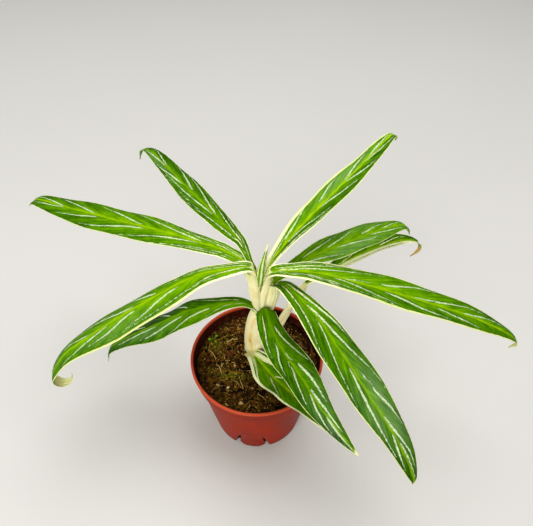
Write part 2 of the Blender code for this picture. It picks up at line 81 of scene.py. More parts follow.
# Soil
SOIL_LEVEL = 83.5
SOIL_BUMP = 1.6
MOUND_HEIGHT = 1.6         # mound round each stem
MOUND_REACH = 8
CRUMB_LAYERS = ((0.28, (0, 0, 0), 1.7), (0.62, (5, 2, 1), 1.3), (1.3, (0, 0, 0), 0.8))    # finer and lower
SOIL_SIDES = 240
SOIL_RINGS = 96
SOIL_SEED = 11
CHIP_COUNT = 200
FIBRE_COUNT = 640
TUFT_COUNT = 520
SHOOTS = ((-0.5, 14.0, 9.0), (16.0, 32.5, 4.4))    # where each stem stands, and its radius

# Crumbs are lumps and grains: how many, how finely each ball is divided, how far they keep from the shoots
# and from the middle, their sizes, how far they lie above the soil, and their tallest shape, unevenness and
# palest shade.
Crumbs = namedtuple("Crumbs", "count level reach limit sizes lift tallest unevenness palest")
CRUMBS = (Crumbs(180, 2, 2.0, 51.0, (0.9, 2.4), 0.1, 0.8, 0.9, 0.62),
          Crumbs(1000, 1, 0.6, 52.5, (0.3, 0.9), 0.15, 0.9, 0.6, 1.0))

# Stems. A sheath holds the direction in degrees that its mouth is highest towards, and the mouth's lowest
# and highest levels. One long overlap runs up the front, at seam_turn degrees, to seam_top, and scar is how
# much of the ochre scar beside it shows. Stations are points along the stem, with its half widths across X
# and Y there.
Station = namedtuple("Station", "place half_x half_y")
Stem = namedtuple("Stem", "name node rows sides sheaths seam_turn seam_top scar stations")
STEMS = (
    Stem("main_stem", "main_shoot", 150, 96, ((-54, 88, 104), (181, 120, 146)), -114, 156, 1, (
        Station((0.0, 15.0, 60.0), 6.0, 5.0),
        Station((0.0, 14.5, 72.0), 8.6, 6.6),
        Station((-0.5, 14.0, 83.0), 10.0, 7.4),
        Station((-1.0, 13.5, 98.0), 10.4, 7.6),
        Station((-0.2, 13.2, 116.0), 10.2, 7.2),
        Station((2.4, 13.0, 134.0), 10.0, 6.6),
        Station((5.6, 13.0, 147.0), 9.6, 6.2),
        Station((6.2, 13.0, 162.0), 10.4, 5.2),
        Station((6.0, 13.2, 174.0), 10.8, 4.2),
        Station((6.0, 13.4, 179.0), 7.0, 2.0),
    )),
    Stem("side_stem", "side_shoot", 80, 56, ((24, 92, 112),), -100, 108, 0, (
        Station((10.0, 27.0, 60.0), 3.2, 3.2),
        Station((12.5, 29.5, 72.0), 4.4, 4.2),
        Station((16.0, 32.5, 84.0), 4.6, 4.2),
        Station((24.0, 39.5, 99.0), 4.0, 3.8),
        Station((31.0, 45.0, 109.5), 3.4, 3.2),
        Station((33.0, 46.5, 112.0), 1.2, 1.2),
    )),
)
STEM_INSET = 0.5           # how far the innermost skin lies inside the half widths
SHEATH_EDGE = 0.55         # how far a sheath stands out
SEAM_EDGE = 0.7            # how far the overlap stands out
STEM_RIB = 0.12
STEM_RIBS = 23
SCAR_LEVEL = 108

# Blade sizes that all leaves share
STALK_ROWS = 44
BLADE_ROWS = 210
COLUMNS = 49
MARGIN_THICKNESS = 0.5
RIB_DEPTH = 2.6
HALF_DOME = 0.22
TIP_HALF_WIDTH = 0.7
ROOT_HALF_WIDTH = 3.6
WAVE_HEIGHT = 0.9
WAVES = 3.4
QUILT_HEIGHT = 0.44        # swell between two side veins
GROOVE_DEPTH = 0.4         # groove over the midrib
GUTTER_LIFT = 2.2          # how far the stalk's gutter sits above its line
STALK_RIB = 0.22           # fine ribs on the stalk's back
STALK_RIBS = 19
OPENING = 18.0             # length over which a rolled root opens into a flat blade
STREAK_SHARE = 0.42        # half width of a streak for each millimetre of its given width
VEIN_SLOPE = radians(17)   # how far the side veins lean away from the midrib
VEIN_PITCH = 4.2           # from one side vein to the next

# One row for each leaf, in the same words as the part's source: arch points are (reach, rise) from the
# blade's root, and the stalk's points lead from inside the stem to the root. Left and right are the shares
# of the half width that each side keeps at a quarter, a half and three quarters of the length.
Leaf = namedtuple("Leaf", "name root heading arch drift half_width base widest cup blunt stalk left right")
LEAVES = (
    Leaf("leaf_left_upper", (-9, 19, 201), 155,
         ((0, 0), (8, 3), (38, 2), (80, 0), (130, -6), (180, -11), (213, -14), (228, -26)),
         0, 17.0, 0.36, 0.52, (-0.1, -0.1, -0.1), 0.6, ((2, 14, 140), (-2, 16, 170)),
         (1, 1, 1), (0.86, 0.9, 0.94)),
    Leaf("leaf_back_left", (0, 21, 199), 128,
         ((0, 0), (7, 5), (28, 6), (60, 8), (110, 11), (150, 14), (171, 11), (184, 2), (192, -12)),
         0, 12.2, 0.22, 0.44, (-0.1, -0.2, -0.1), -0.4, ((3, 15, 140), (1, 18, 170)),
         (1, 0.88, 0.76), (0.9, 1, 1)),
    Leaf("leaf_left_long", (-6, 9, 196), 192,
         ((0, 0), (7, 5), (24, 8), (46, 4), (90, -19), (125, -41), (156, -64), (172, -87),
          (174, -99), (168, -106), (160, -103), (158, -94)),
         0, 17.5, 0.34, 0.42, (-0.1, -0.45, 0.0), 0.2, ((3.6, 12, 136), (-2.4, 10.5, 164)),
         (1, 0.9, 0.8), (0.6, 1, 1)),
    Leaf("leaf_left_low", (-8, 12, 151), 181,
         ((0, 0), (10, 6), (29, 2), (54, -7), (76, -21), (112, -44), (128, -59), (134, -80)),
         0, 15.0, 0.26, 0.42, (-0.1, -0.4, -0.3), 0.0, ((2, 13, 130), (-3, 12, 143)),
         (1, 0.96, 0.84), (1, 1, 1)),
    Leaf("leaf_back_upright", (6, 10, 189), 43,
         ((0, 0), (12, 14), (34, 27), (68, 40), (110, 55), (140, 66), (150, 66), (154, 59)),
         0, 11.6, 0.24, 0.5, (0.4, 0.05, 0.0), 0.7, ((5, 13, 140), (5, 12, 166)),
         (1, 1, 0.8), (0.95, 1, 1)),
    Leaf("leaf_back_right", (17, 15, 179), 32,
         ((0, 0), (8, 6), (22, 9), (45, 10), (90, 6), (120, 2), (140, -6), (150, -22)),
         0, 14.0, 0.28, 0.45, (0.0, 0.0, -0.1), 0.0, ((6, 14, 138), (11, 15, 160)),
         (1, 1, 1), (1, 1, 1)),
    Leaf("leaf_side_shoot", (41, 53, 123), 24,
         ((0, 0), (7, 8), (30, 15), (54, 22), (91, 25), (114, 21), (129, 11), (131, 1), (123, -5)),
         0, 9.4, 0.24, 0.5, (0.3, 0.4, 0.2), 0.0, ((28, 42.5, 105), (35, 48, 114.5)),
         (1, 1, 1), (1, 0.8, 0.85)),
    Leaf("leaf_right_long", (12, 7, 191), -10,
         ((0, 0), (14, 11), (35, 14), (72, 8), (125, -4), (162, -15), (190, -28), (200, -38),
          (196, -45)),
         0, 16.5, 0.36, 0.5, (0.1, -0.08, -0.1), 0.2, ((4.4, 11.5, 138), (8.4, 10.5, 166)),
         (1, 1, 1), (0.85, 0.8, 0.85)),
    Leaf("leaf_front_right", (18, 7, 180), -52,
         ((0, 0), (14, 11), (46, 9), (73, -4), (123, -32), (147, -49), (161, -67), (163, -76)),
         0, 16.8, 0.3, 0.52, (0.0, -0.05, -0.1), 0.4, ((8.5, 12, 134), (16.5, 10, 161)),
         (0.84, 1, 1), (1.12, 0.92, 0.82)),
    Leaf("leaf_front", (5.5, 5.5, 150), -73,
         ((0, 0), (9, 6), (37, 4), (73, 5), (97, -1), (118, -6), (136, -10)),
         -30, 13.8, 0.58, 0.45, (-0.7, 0.35, 0.1), 0.0, ((2.5, 13, 128), (4.6, 9.5, 141)),
         (1, 1, 0.8), (1, 1, 1)),
    Leaf("leaf_front_low", (-6.5, 4, 93), -54,
         ((0, 0), (10, 5), (33, 5), (59, 12), (78, 18), (96, 20), (108, 18)),
         0, 14.0, 0.38, 0.45, (0.3, 0.2, 0.0), 0.0, ((-1, 13, 86), (-4.5, 8.5, 89)),
         (1.1, 1, 1), (1.3, 0.95, 0.9)),
)

# The new leaf, still rolled: the lines of its stalk and blade, and the blade's half widths along it
SPEAR_STALK = ((4, 13, 150), (3.2, 10.0, 168), (2.2, 7.6, 181))
SPEAR = ((2.2, 7.6, 181), (3.6, 7.0, 192), (6.2, 7.0, 209), (8.4, 7.6, 220), (10.4, 8.0, 230))
SPEAR_HALF_WIDTHS = (2.6, 3.4, 2.9, 1.5, 0.5)
SPEAR_STALK_HALF = 3.2
SPEAR_ROWS = 130
SPEAR_STALK_ROWS = 52
SPEAR_SIDES = 56

# How each leaf joins its stalk: how far the blade's root stands off the part's, the stalk's half width
# and depth, where along the blade the ivory gives way to green, and how much sooner than the others the
# blade opens out of its gutter.
Root = namedtuple("Root", "shift half depth green sooner")
ROOTS = {
    "leaf_left_upper": Root((3.5, 0.0, -7.0), 4.4, 6.0, -2.0, 0.0),
    "leaf_back_left": Root((-2.5, -2.0, -9.0), 3.6, 5.0, -3.0, 0.0),
    "leaf_left_long": Root((4.0, 0.0, 5.0), 5.2, 6.5, 0.5, 0.0),
    "leaf_left_low": Root((5.5, -2.5, 3.0), 3.6, 3.6, -4.0, 2.0),
    "leaf_back_upright": Root((-1.0, 2.0, -3.0), 5.0, 4.5, -7.0, 0.0),
    "leaf_back_right": Root((-3.5, 0.0, -2.5), 4.4, 5.0, -6.0, 0.0),
    "leaf_side_shoot": Root((0.0, 0.0, 0.0), 4.2, 4.5, 8.0, 0.0),
    "leaf_right_long": Root((-1.5, 0.5, 6.0), 4.8, 5.6, 1.0, 0.0),
    "leaf_front_right": Root((-2.4, 0.0, 5.0), 5.0, 4.6, 1.0, 7.0),
    "leaf_front": Root((0.5, 1.5, 6.0), 6.6, 4.0, -3.0, 15.0),
    "leaf_front_low": Root((0.6, -1.5, 1.0), 3.3, 3.5, 6.0, 4.0),
}

# How each leaf is marked. Tones are those of its left and right, from 0, dark green, to 1, light green, and
# fade is how much darker they get towards the tip. Warm is how yellow its midrib is. Margins are the
# widths in millimetres of the cream edges at its left and right, and how much wider they get at its root. A
# streak holds its side, where it starts and how far out, where it ends and how far out, and its width. A
# patch of painted sheen, pale grey-green that stands for a soft highlight, holds its side, its middle and
# half length along the leaf, the same across it, and its strength. Places along the leaf are shares of its
# length, and places across are shares of its half width.
Marking = namedtuple("Marking", "tones fade warm margins streaks frost")
LEFT = -1
RIGHT = 1
MARKINGS = {
    "leaf_left_upper": Marking((0.76, 0.80), 0.28, 0.8, (0.6, 0.5, 0.4), (
        (LEFT, 0.00, 0.30, 0.34, 0.92, 0.6), (LEFT, 0.05, 0.70, 0.40, 0.95, 0.6),
        (LEFT, 0.18, 0.12, 0.50, 0.92, 1.5), (LEFT, 0.40, 0.16, 0.68, 0.86, 1.9),
        (LEFT, 0.61, 0.14, 0.80, 0.72, 1.6), (LEFT, 0.785, 0.08, 0.93, 0.50, 1.5),
        (RIGHT, 0.00, 0.10, 0.22, 0.72, 0.5), (RIGHT, 0.00, 0.45, 0.30, 0.95, 0.5),
        (RIGHT, 0.03, 0.30, 0.40, 0.92, 0.7), (RIGHT, 0.17, 0.18, 0.50, 0.88, 1.4),
        (RIGHT, 0.42, 0.14, 0.66, 0.84, 1.5), (RIGHT, 0.64, 0.10, 0.84, 0.80, 1.6),
        (RIGHT, 0.79, 0.05, 0.95, 0.62, 1.4)),
        ()),
    "leaf_back_left": Marking((0.62, 0.56), 0.16, 0.35, (0.4, 0.4, 0.2), (
        (LEFT, 0.05, 0.30, 0.50, 0.94, 0.8), (LEFT, 0.12, 0.50, 0.62, 0.80, 0.6),
        (LEFT, 0.29, 0.16, 0.64, 0.66, 1.5), (LEFT, 0.52, 0.12, 0.72, 0.80, 1.5),
        (LEFT, 0.67, 0.10, 0.84, 0.50, 1.3), (RIGHT, 0.02, 0.20, 0.28, 0.90, 0.6),
        (RIGHT, 0.09, 0.10, 0.42, 0.86, 1.0), (RIGHT, 0.28, 0.14, 0.56, 0.92, 1.6),
        (RIGHT, 0.465, 0.16, 0.64, 0.88, 1.9), (RIGHT, 0.67, 0.10, 0.82, 0.80, 1.3)),
        ((LEFT, 0.76, 0.14, 0.5, 0.45, 0.4),)),
    "leaf_left_long": Marking((0.80, 0.76), 0.26, 0.8, (1.5, 0.9, 0.35), (
        (LEFT, 0.00, 0.10, 0.22, 0.70, 1.0), (LEFT, 0.12, 0.66, 0.60, 0.82, 0.9),
        (LEFT, 0.24, 0.20, 0.46, 0.72, 1.7), (LEFT, 0.40, 0.16, 0.62, 0.62, 1.7),
        (LEFT, 0.52, 0.10, 0.76, 0.72, 1.4), (RIGHT, 0.00, 0.15, 0.22, 0.70, 0.7),
        (RIGHT, 0.00, 0.55, 0.26, 0.92, 0.7), (RIGHT, 0.10, 0.30, 0.34, 0.80, 0.6),
        (RIGHT, 0.32, 0.22, 0.46, 0.90, 1.7), (RIGHT, 0.41, 0.12, 0.62, 0.72, 2.0),
        (RIGHT, 0.60, 0.10, 0.82, 0.70, 1.4), (RIGHT, 0.50, 0.62, 0.80, 0.85, 1.1)),
        ((LEFT, 0.52, 0.12, 0.55, 0.25, 0.3),)),
    "leaf_left_low": Marking((0.86, 0.56), 0.58, 0.3, (0.4, 0.4, 0.1), (
        (LEFT, 0.03, 0.25, 0.22, 0.80, 0.6), (LEFT, 0.20, 0.28, 0.46, 0.92, 1.8),
        (LEFT, 0.35, 0.25, 0.64, 0.72, 1.8), (LEFT, 0.52, 0.15, 0.80, 0.45, 1.5),
        (RIGHT, 0.06, 0.30, 0.32, 0.88, 0.7), (RIGHT, 0.32, 0.30, 0.44, 0.92, 1.7),
        (RIGHT, 0.43, 0.20, 0.54, 0.90, 1.6), (RIGHT, 0.60, 0.20, 0.80, 0.88, 1.6)),
        ((LEFT, 0.62, 0.16, 0.45, 0.3, 0.4), (RIGHT, 0.70, 0.14, 0.7, 0.4, 0.5))),
    "leaf_back_upright": Marking((0.72, 0.54), 0.04, 1.0, (2.0, 0.9, 0.6), (
        (LEFT, 0.00, 0.40, 0.34, 0.88, 1.6), (LEFT, 0.00, 0.15, 0.24, 0.45, 0.8),
        (LEFT, 0.20, 0.30, 0.42, 0.90, 1.3), (LEFT, 0.44, 0.30, 0.60, 0.78, 1.4),
        (LEFT, 0.60, 0.10, 0.80, 0.72, 1.4), (LEFT, 0.78, 0.10, 0.95, 0.50, 1.2),
        (RIGHT, 0.00, 0.55, 0.44, 0.86, 1.2), (RIGHT, 0.00, 0.10, 0.10, 0.30, 0.7),
        (RIGHT, 0.20, 0.20, 0.46, 0.72, 1.1), (RIGHT, 0.42, 0.12, 0.64, 0.70, 1.3),
        (RIGHT, 0.60, 0.15, 0.78, 0.80, 1.3), (RIGHT, 0.74, 0.10, 0.94, 0.60, 1.1)),
        ((LEFT, 0.62, 0.18, 0.45, 0.35, 0.5),)),
    "leaf_back_right": Marking((0.74, 0.80), 0.08, 0.5, (0.4, 0.4, 0.2), (
        (LEFT, 0.18, 0.30, 0.46, 0.78, 1.2), (LEFT, 0.33, 0.15, 0.56, 0.72, 1.4),
        (LEFT, 0.56, 0.20, 0.74, 0.55, 1.5), (LEFT, 0.70, 0.10, 0.85, 0.45, 1.1),
        (RIGHT, 0.10, 0.20, 0.40, 0.80, 1.2), (RIGHT, 0.38, 0.15, 0.64, 0.55, 1.6),
        (RIGHT, 0.60, 0.15, 0.85, 0.60, 1.4)),
        ((LEFT, 0.55, 0.22, 0.8, 0.3, 0.4), (RIGHT, 0.45, 0.22, 0.6, 0.35, 0.6))),
    "leaf_side_shoot": Marking((0.44, 0.64), 0.0, 0.9, (0.4, 1.8, 0.35), (
        (LEFT, 0.28, 0.15, 0.50, 0.50, 0.9), (LEFT, 0.55, 0.15, 0.75, 0.60, 0.9),
        (RIGHT, 0.20, 0.35, 0.92, 0.55, 6.2), (RIGHT, 0.40, 0.15, 0.60, 0.30, 1.2)),
        ()),
    "leaf_right_long": Marking((0.78, 0.70), 0.24, 0.8, (0.7, 1.4, 0.35), (
        (LEFT, 0.03, 0.35, 0.34, 0.92, 1.0), (LEFT, 0.04, 0.70, 0.36, 0.96, 0.4),
        (LEFT, 0.04, 0.10, 0.45, 0.88, 1.3), (LEFT, 0.405, 0.25, 0.62, 0.92, 1.8),
        (LEFT, 0.53, 0.06, 0.82, 0.74, 1.5), (LEFT, 0.71, 0.06, 0.88, 0.62, 1.5),
        (LEFT, 0.28, 0.05, 0.38, 0.20, 0.7), (RIGHT, 0.00, 0.15, 0.30, 0.80, 0.6),
        (RIGHT, 0.05, 0.50, 0.36, 0.94, 0.4), (RIGHT, 0.10, 0.40, 0.50, 0.88, 0.7),
        (RIGHT, 0.24, 0.16, 0.47, 0.76, 1.3), (RIGHT, 0.42, 0.20, 0.66, 0.80, 1.7),
        (RIGHT, 0.61, 0.25, 0.78, 0.74, 1.5)),
        ()),
    "leaf_front_right": Marking((0.64, 0.62), 0.24, 0.5, (0.6, 0.7, 0.35), (
        (LEFT, 0.06, 0.40, 0.42, 0.90, 2.0), (LEFT, 0.19, 0.08, 0.62, 0.92, 1.9),
        (LEFT, 0.51, 0.25, 0.58, 0.40, 0.9), (LEFT, 0.585, 0.35, 0.76, 0.86, 2.1),
        (LEFT, 0.69, 0.06, 0.92, 0.62, 1.8), (LEFT, 0.80, 0.10, 0.96, 0.30, 1.3),
        (RIGHT, 0.02, 0.20, 0.42, 0.92, 1.1), (RIGHT, 0.26, 0.15, 0.62, 0.90, 1.4),
        (RIGHT, 0.475, 0.10, 0.84, 0.82, 2.2), (RIGHT, 0.76, 0.10, 0.90, 0.72, 1.8)),
        ((LEFT, 0.67, 0.17, 0.45, 0.45, 0.8), (RIGHT, 0.68, 0.12, 0.5, 0.35, 0.5))),
    "leaf_front": Marking((0.66, 0.60), 0.30, 0.35, (0.35, 0.4, 0.2), (
        (LEFT, 0.15, 0.30, 0.50, 0.92, 1.7), (LEFT, 0.44, 0.30, 0.70, 0.64, 2.1),
        (LEFT, 0.60, 0.12, 0.88, 0.42, 1.7), (LEFT, 0.34, 0.06, 0.42, 0.15, 0.8),
        (RIGHT, 0.08, 0.40, 0.36, 0.82, 1.0), (RIGHT, 0.26, 0.20, 0.50, 0.80, 1.5),
        (RIGHT, 0.44, 0.12, 0.66, 0.70, 1.7), (RIGHT, 0.40, 0.10, 0.45, 0.20, 0.7),
        (RIGHT, 0.62, 0.10, 0.84, 0.74, 1.7), (RIGHT, 0.76, 0.05, 0.97, 0.25, 2.1)),
        ((RIGHT, 0.82, 0.14, 0.35, 0.45, 0.5), (LEFT, 0.70, 0.12, 0.6, 0.3, 0.3))),
    "leaf_front_low": Marking((0.64, 0.86), 0.34, 1.0, (0.6, 1.6, 1.6), (
        (LEFT, 0.04, 0.30, 0.37, 0.80, 5.4), (LEFT, 0.34, 0.10, 0.45, 0.50, 1.4),
        (LEFT, 0.50, 0.20, 0.75, 0.80, 1.8), (RIGHT, 0.00, 0.20, 0.36, 0.92, 2.4),
        (RIGHT, 0.32, 0.15, 0.55, 0.78, 1.5)),
        ()),
}

# Where a tip dries, and where a tip turns ivory, as shares of the length, and the leaves whose marks are
# cream all along.
DRY_TIPS = {"leaf_side_shoot": 0.9, "leaf_left_low": 0.985, "leaf_back_left": 0.985}
PALE_TIPS = {"leaf_left_long": 0.885, "leaf_right_long": 0.955, "leaf_front_right": 0.99,
             "leaf_front": 0.975}
CREAMY = ("leaf_side_shoot", "leaf_front_low")


# Small helpers

def linear(red, green, blue):
    """A colour given as screen values from 0 to 255, as the light values that shaders use."""
    values = []
    for value in (red, green, blue):
        share = value / 255
        values.append(share / 12.92 if share <= 0.04045 else ((share + 0.055) / 1.055) ** 2.4)
    return (*values, 1.0)


def ease(value, low, high):
    """0 below low and 1 above high, with a smooth rise between them."""
    share = np.clip((np.asarray(value, float) - low) / (high - low), 0, 1)
    return share * share * (3 - 2 * share)


def smooth_path(points, count, packed=0.0, before=None, after=None):
    """Count points along a smooth curve through the given ones, packed towards both ends."""
    knots = [Vector(point) for point in points]
    first = Vector(before) if before else 2 * knots[0] - knots[1]
    last = Vector(after) if after else 2 * knots[-1] - knots[-2]
    knots = [first] + knots + [last]
    steps = 20
    line = []
    for k in range(1, len(knots) - 2):
        a, b, c, d = knots[k - 1:k + 3]
        for step in range(steps):
            t = step / steps
            line.append(0.5 * (2 * b + (c - a) * t + (2 * a - 5 * b + 4 * c - d) * t * t
                               + (3 * b - a - 3 * c + d) * t ** 3))
    line.append(knots[-2])
    lengths = [0.0]
    for k in range(1, len(line)):
        lengths.append(lengths[-1] + (line[k] - line[k - 1]).length)
    shares = []
    places = []
    k = 0
    for row in range(count):
        u = row / (count - 1)
        share = (1 - packed) * u + packed * (0.5 - 0.5 * cos(pi * u))
        want = share * lengths[-1]
        while k < len(line) - 2 and lengths[k + 1] < want:
            k += 1
        part = (want - lengths[k]) / (lengths[k + 1] - lengths[k])
        shares.append(share)
        places.append(line[k].lerp(line[k + 1], part))
    return shares, places


def between(values, t):
    """A value that runs through three given ones at the start, middle and end."""
    return np.interp(t, (0, 0.5, 1), values)


def make_object(name, corners, faces, finish, smooth=True, crease=50):
    """An object from corners in millimetres, with its faces turned outwards."""
    mesh = bpy.data.meshes.new(name)
    mesh.from_pydata([tuple(corner) for corner in np.asarray(corners, float) * MM], [], faces)
    shape = bmesh.new()
    shape.from_mesh(mesh)
    bmesh.ops.recalc_face_normals(shape, faces=shape.faces)
    shape.to_mesh(mesh)
    shape.free()
    if smooth:
        mesh.shade_smooth()
        mesh.set_sharp_from_angle(angle=radians(crease))
    made = bpy.data.objects.new(name, mesh)
    bpy.context.scene.collection.objects.link(made)
    mesh.materials.append(finish)
    return made


def give_field(piece, name, values):
    """One number for each corner of a piece, for its finish to read."""
    field = piece.data.attributes.new(name, "FLOAT", "POINT")
    field.data.foreach_set("value", np.asarray(values, np.float32).ravel())


def give_place(piece, name, values):
    """Three numbers for each corner of a piece, for its finish to read."""
    field = piece.data.attributes.new(name, "FLOAT_VECTOR", "POINT")
    field.data.foreach_set("vector", np.asarray(values, np.float32).ravel())


def settle(piece, slot, *nodes):
    """Every piece rides on the one body and stands for its nodes; its slot is not used."""
    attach(piece, "root")
    if nodes:
        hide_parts(*nodes)
    return piece


# Shader helpers

def new_finish(name):
    """A material with its tree and its shader."""
    finish = bpy.data.materials.new(name)
    finish.use_nodes = True
    tree = finish.node_tree
    return finish, tree, tree.nodes["Principled BSDF"]


def plug(tree, value, socket):
    """Feed a socket from another socket, or set it to a plain value."""
    if isinstance(value, bpy.types.NodeSocket):
        tree.links.new(value, socket)
    else:
        socket.default_value = value


def field(tree, name, vector=False):
    """A piece's own numbers, by their name."""
    node = tree.nodes.new("ShaderNodeAttribute")
    node.attribute_name = name
    return node.outputs["Vector" if vector else "Fac"]


def sums(tree, operation, first, second=0.0, third=0.0):
    """One step of arithmetic."""
    node = tree.nodes.new("ShaderNodeMath")
    node.operation = operation
    for value, socket in zip((first, second, third), node.inputs):
        plug(tree, value, socket)
    return node.outputs[0]


def sway(tree, noisy, reach, value):
    """A value moved up and down by noise."""
    return sums(tree, "MULTIPLY_ADD", sums(tree, "SUBTRACT", noisy, 0.5), reach, value)


def stretch(tree, vector, scale):
    """A place scaled along each of its directions."""
    node = tree.nodes.new("ShaderNodeVectorMath")
    node.operation = "MULTIPLY"
    plug(tree, vector, node.inputs[0])
    node.inputs[1].default_value = scale
    return node.outputs[0]


def cloud(tree, vector, scale=1.0, detail=3.0, roughness=0.55):
    """Soft noise from 0 to 1, about a half on average."""
    node = tree.nodes.new("ShaderNodeTexNoise")
    plug(tree, vector, node.inputs["Vector"])
    node.inputs["Scale"].default_value = scale
    node.inputs["Detail"].default_value = detail
    node.inputs["Roughness"].default_value = roughness
    return node.outputs["Fac"]


def rise(tree, value, low, high, start=0.0, end=1.0):
    """A smooth step from start to end as the value goes from low to high."""
    node = tree.nodes.new("ShaderNodeMapRange")
    node.interpolation_type = "SMOOTHSTEP"
    for number, socket in zip((value, low, high, start, end), node.inputs):
        plug(tree, number, socket)
    return node.outputs[0]


def blend(tree, share, under, over):
    """One colour over another."""
    node = tree.nodes.new("ShaderNodeMix")
    node.data_type = "RGBA"
    plug(tree, share, node.inputs["Factor"])
    plug(tree, under, node.inputs["A"])
    plug(tree, over, node.inputs["B"])
    return node.outputs["Result"]


def colours(tree, value, stops):
    """A run of colours, each at its place from 0 to 1."""
    node = tree.nodes.new("ShaderNodeValToRGB")
    ramp = node.color_ramp
    while len(ramp.elements) < len(stops):
        ramp.elements.new(0.5)
    for element, (place, colour) in zip(ramp.elements, stops):
        element.position = place
        element.color = colour
    plug(tree, value, node.inputs["Fac"])
    return node.outputs["Color"]


def relief(tree, shader, height, strength, distance):
    """Fine relief on a surface, from a height that varies over it."""
    node = tree.nodes.new("ShaderNodeBump")
    node.inputs["Strength"].default_value = strength
    node.inputs["Distance"].default_value = distance
    plug(tree, height, node.inputs["Height"])
    plug(tree, node.outputs["Normal"], shader.inputs["Normal"])


def new_group(name, inputs, outputs):
    """An empty effect with named inputs and outputs."""
    group = bpy.data.node_groups.new(name, "ShaderNodeTree")
    for title, kind, value in inputs:
        socket = group.interface.new_socket(name=title, in_out="INPUT", socket_type=kind)
        if value is not None:
            socket.default_value = value
    for title, kind in outputs:
        group.interface.new_socket(name=title, in_out="OUTPUT", socket_type=kind)
    return group, group.nodes.new("NodeGroupInput"), group.nodes.new("NodeGroupOutput")


def use_group(tree, group, values):
    """An effect placed in a material with its own values."""
    node = tree.nodes.new("ShaderNodeGroup")
    node.node_tree = group
    for title, value in values.items():
        plug(tree, value, node.inputs[title])
    return node


def make_ragged_edge():
    """A mask from a distance field whose edge is frayed by noise drawn out along the veins."""
    group, given, result = new_group(
        "ragged edge",
        (("Field", "NodeSocketFloat", 0.0), ("Place", "NodeSocketVector", None),
         ("Fray", "NodeSocketFloat", 0.6), ("Softness", "NodeSocketFloat", 0.25)),
        (("Mask", "NodeSocketFloat"),))
    long_noise = cloud(group, stretch(group, given.outputs["Place"], (0.16, 1.3, 1.0)), detail=4.0,
                       roughness=0.65)
    short_noise = cloud(group, stretch(group, given.outputs["Place"], (0.8, 2.6, 1.0)), detail=2.0)
    mixed = sums(group, "ADD", sums(group, "SUBTRACT", long_noise, 0.5),
                 sums(group, "MULTIPLY", sums(group, "SUBTRACT", short_noise, 0.5), 0.6))
    frayed = sums(group, "MULTIPLY_ADD", mixed, sums(group, "MULTIPLY", given.outputs["Fray"], 3.0),
                  given.outputs["Field"])
    low = sums(group, "MULTIPLY", given.outputs["Softness"], -1.0)
    plug(group, rise(group, frayed, low, given.outputs["Softness"]), result.inputs["Mask"])
    return group


def make_long_grain():
    """Fine ribs drawn out along a stalk or vein, as a mask about a half."""
    group, given, result = new_group(
        "long grain",
        (("Place", "NodeSocketVector", None), ("Width", "NodeSocketFloat", 1.0)),
        (("Ribs", "NodeSocketFloat"), ("Blotches", "NodeSocketFloat")))
    place = given.outputs["Place"]
    narrowed = group.nodes.new("ShaderNodeVectorMath")
    narrowed.operation = "SCALE"
    plug(group, place, narrowed.inputs[0])
    plug(group, sums(group, "DIVIDE", 1.0, given.outputs["Width"]), narrowed.inputs["Scale"])
    plug(group, cloud(group, stretch(group, narrowed.outputs[0], (0.05, 2.2, 1.0)), detail=3.0),
         result.inputs["Ribs"])
    plug(group, cloud(group, stretch(group, narrowed.outputs[0], (0.06, 0.16, 1.0)), detail=3.0),
         result.inputs["Blotches"])
    return group


RAGGED_EDGE = make_ragged_edge()
LONG_GRAIN = make_long_grain()


def ragged_mask(tree, distance, place, fray, softness):
    """A frayed mask in a material, from a distance field."""
    return use_group(tree, RAGGED_EDGE, {"Field": distance, "Place": place, "Fray": fray,
                                         "Softness": softness}).outputs["Mask"]


def leaf_green(tree, vein_place, wide_veins, fine_veins, mottle):
    """Green from dark to light, darker beside each streak, with faint pale bands and patches of painted
    sheen.
    """
    tone = sway(tree, wide_veins, 0.75, field(tree, "tone"))
    tone = sway(tree, fine_veins, 0.6, tone)
    tone = sway(tree, mottle, 0.6, tone)
    beside = rise(tree, field(tree, "streak"), -1.5, 0.0)
    tone = sums(tree, "MULTIPLY_ADD", beside, -0.1, tone)
    green = colours(tree, tone, (
        (0.0, linear(10, 38, 1)), (0.25, linear(33, 74, 0)), (0.5, linear(60, 107, 0)),
        (0.75, linear(90, 142, 0)), (1.0, linear(124, 174, 0))))
    faint = cloud(tree, stretch(tree, vein_place, (0.045, 0.62, 2.0)), detail=4.0, roughness=0.6)
    green = blend(tree, rise(tree, faint, 0.58, 0.74, 0.0, 0.3), green, linear(124, 162, 24))
    # Painted sheen: pale grey-green patches that stand for soft highlights on the leaf
    frost = sums(tree, "MULTIPLY", field(tree, "frost"), rise(tree, faint, 0.36, 0.58, 0.25, 0.8))
    return blend(tree, frost, green, linear(118, 148, 96))


def leaf_streaks(tree, vein_place, fine_veins):
    """A mask of the streaks, broken up by the veins, and of small flecks beside the veins."""
    flecks = cloud(tree, stretch(tree, vein_place, (0.2, 1.4, 3.0)), detail=2.0)
    fleck_field = rise(tree, flecks, 0.64, 0.8, -3.0, 0.2)
    marked = sums(tree, "MAXIMUM", field(tree, "streak"), fleck_field)
    streak = ragged_mask(tree, marked, vein_place, 0.6, 0.28)
    beads = cloud(tree, stretch(tree, vein_place, (0.55, 0.9, 1.0)), detail=3.0, roughness=0.7)
    broken = sums(tree, "MULTIPLY", rise(tree, fine_veins, 0.25, 0.6, 0.66, 1.0),
                  rise(tree, beads, 0.36, 0.52, 0.4, 1.0))
    broken = sums(tree, "MAXIMUM", broken, rise(tree, field(tree, "streak"), 0.7, 1.5))
    return sums(tree, "MULTIPLY", streak, broken)


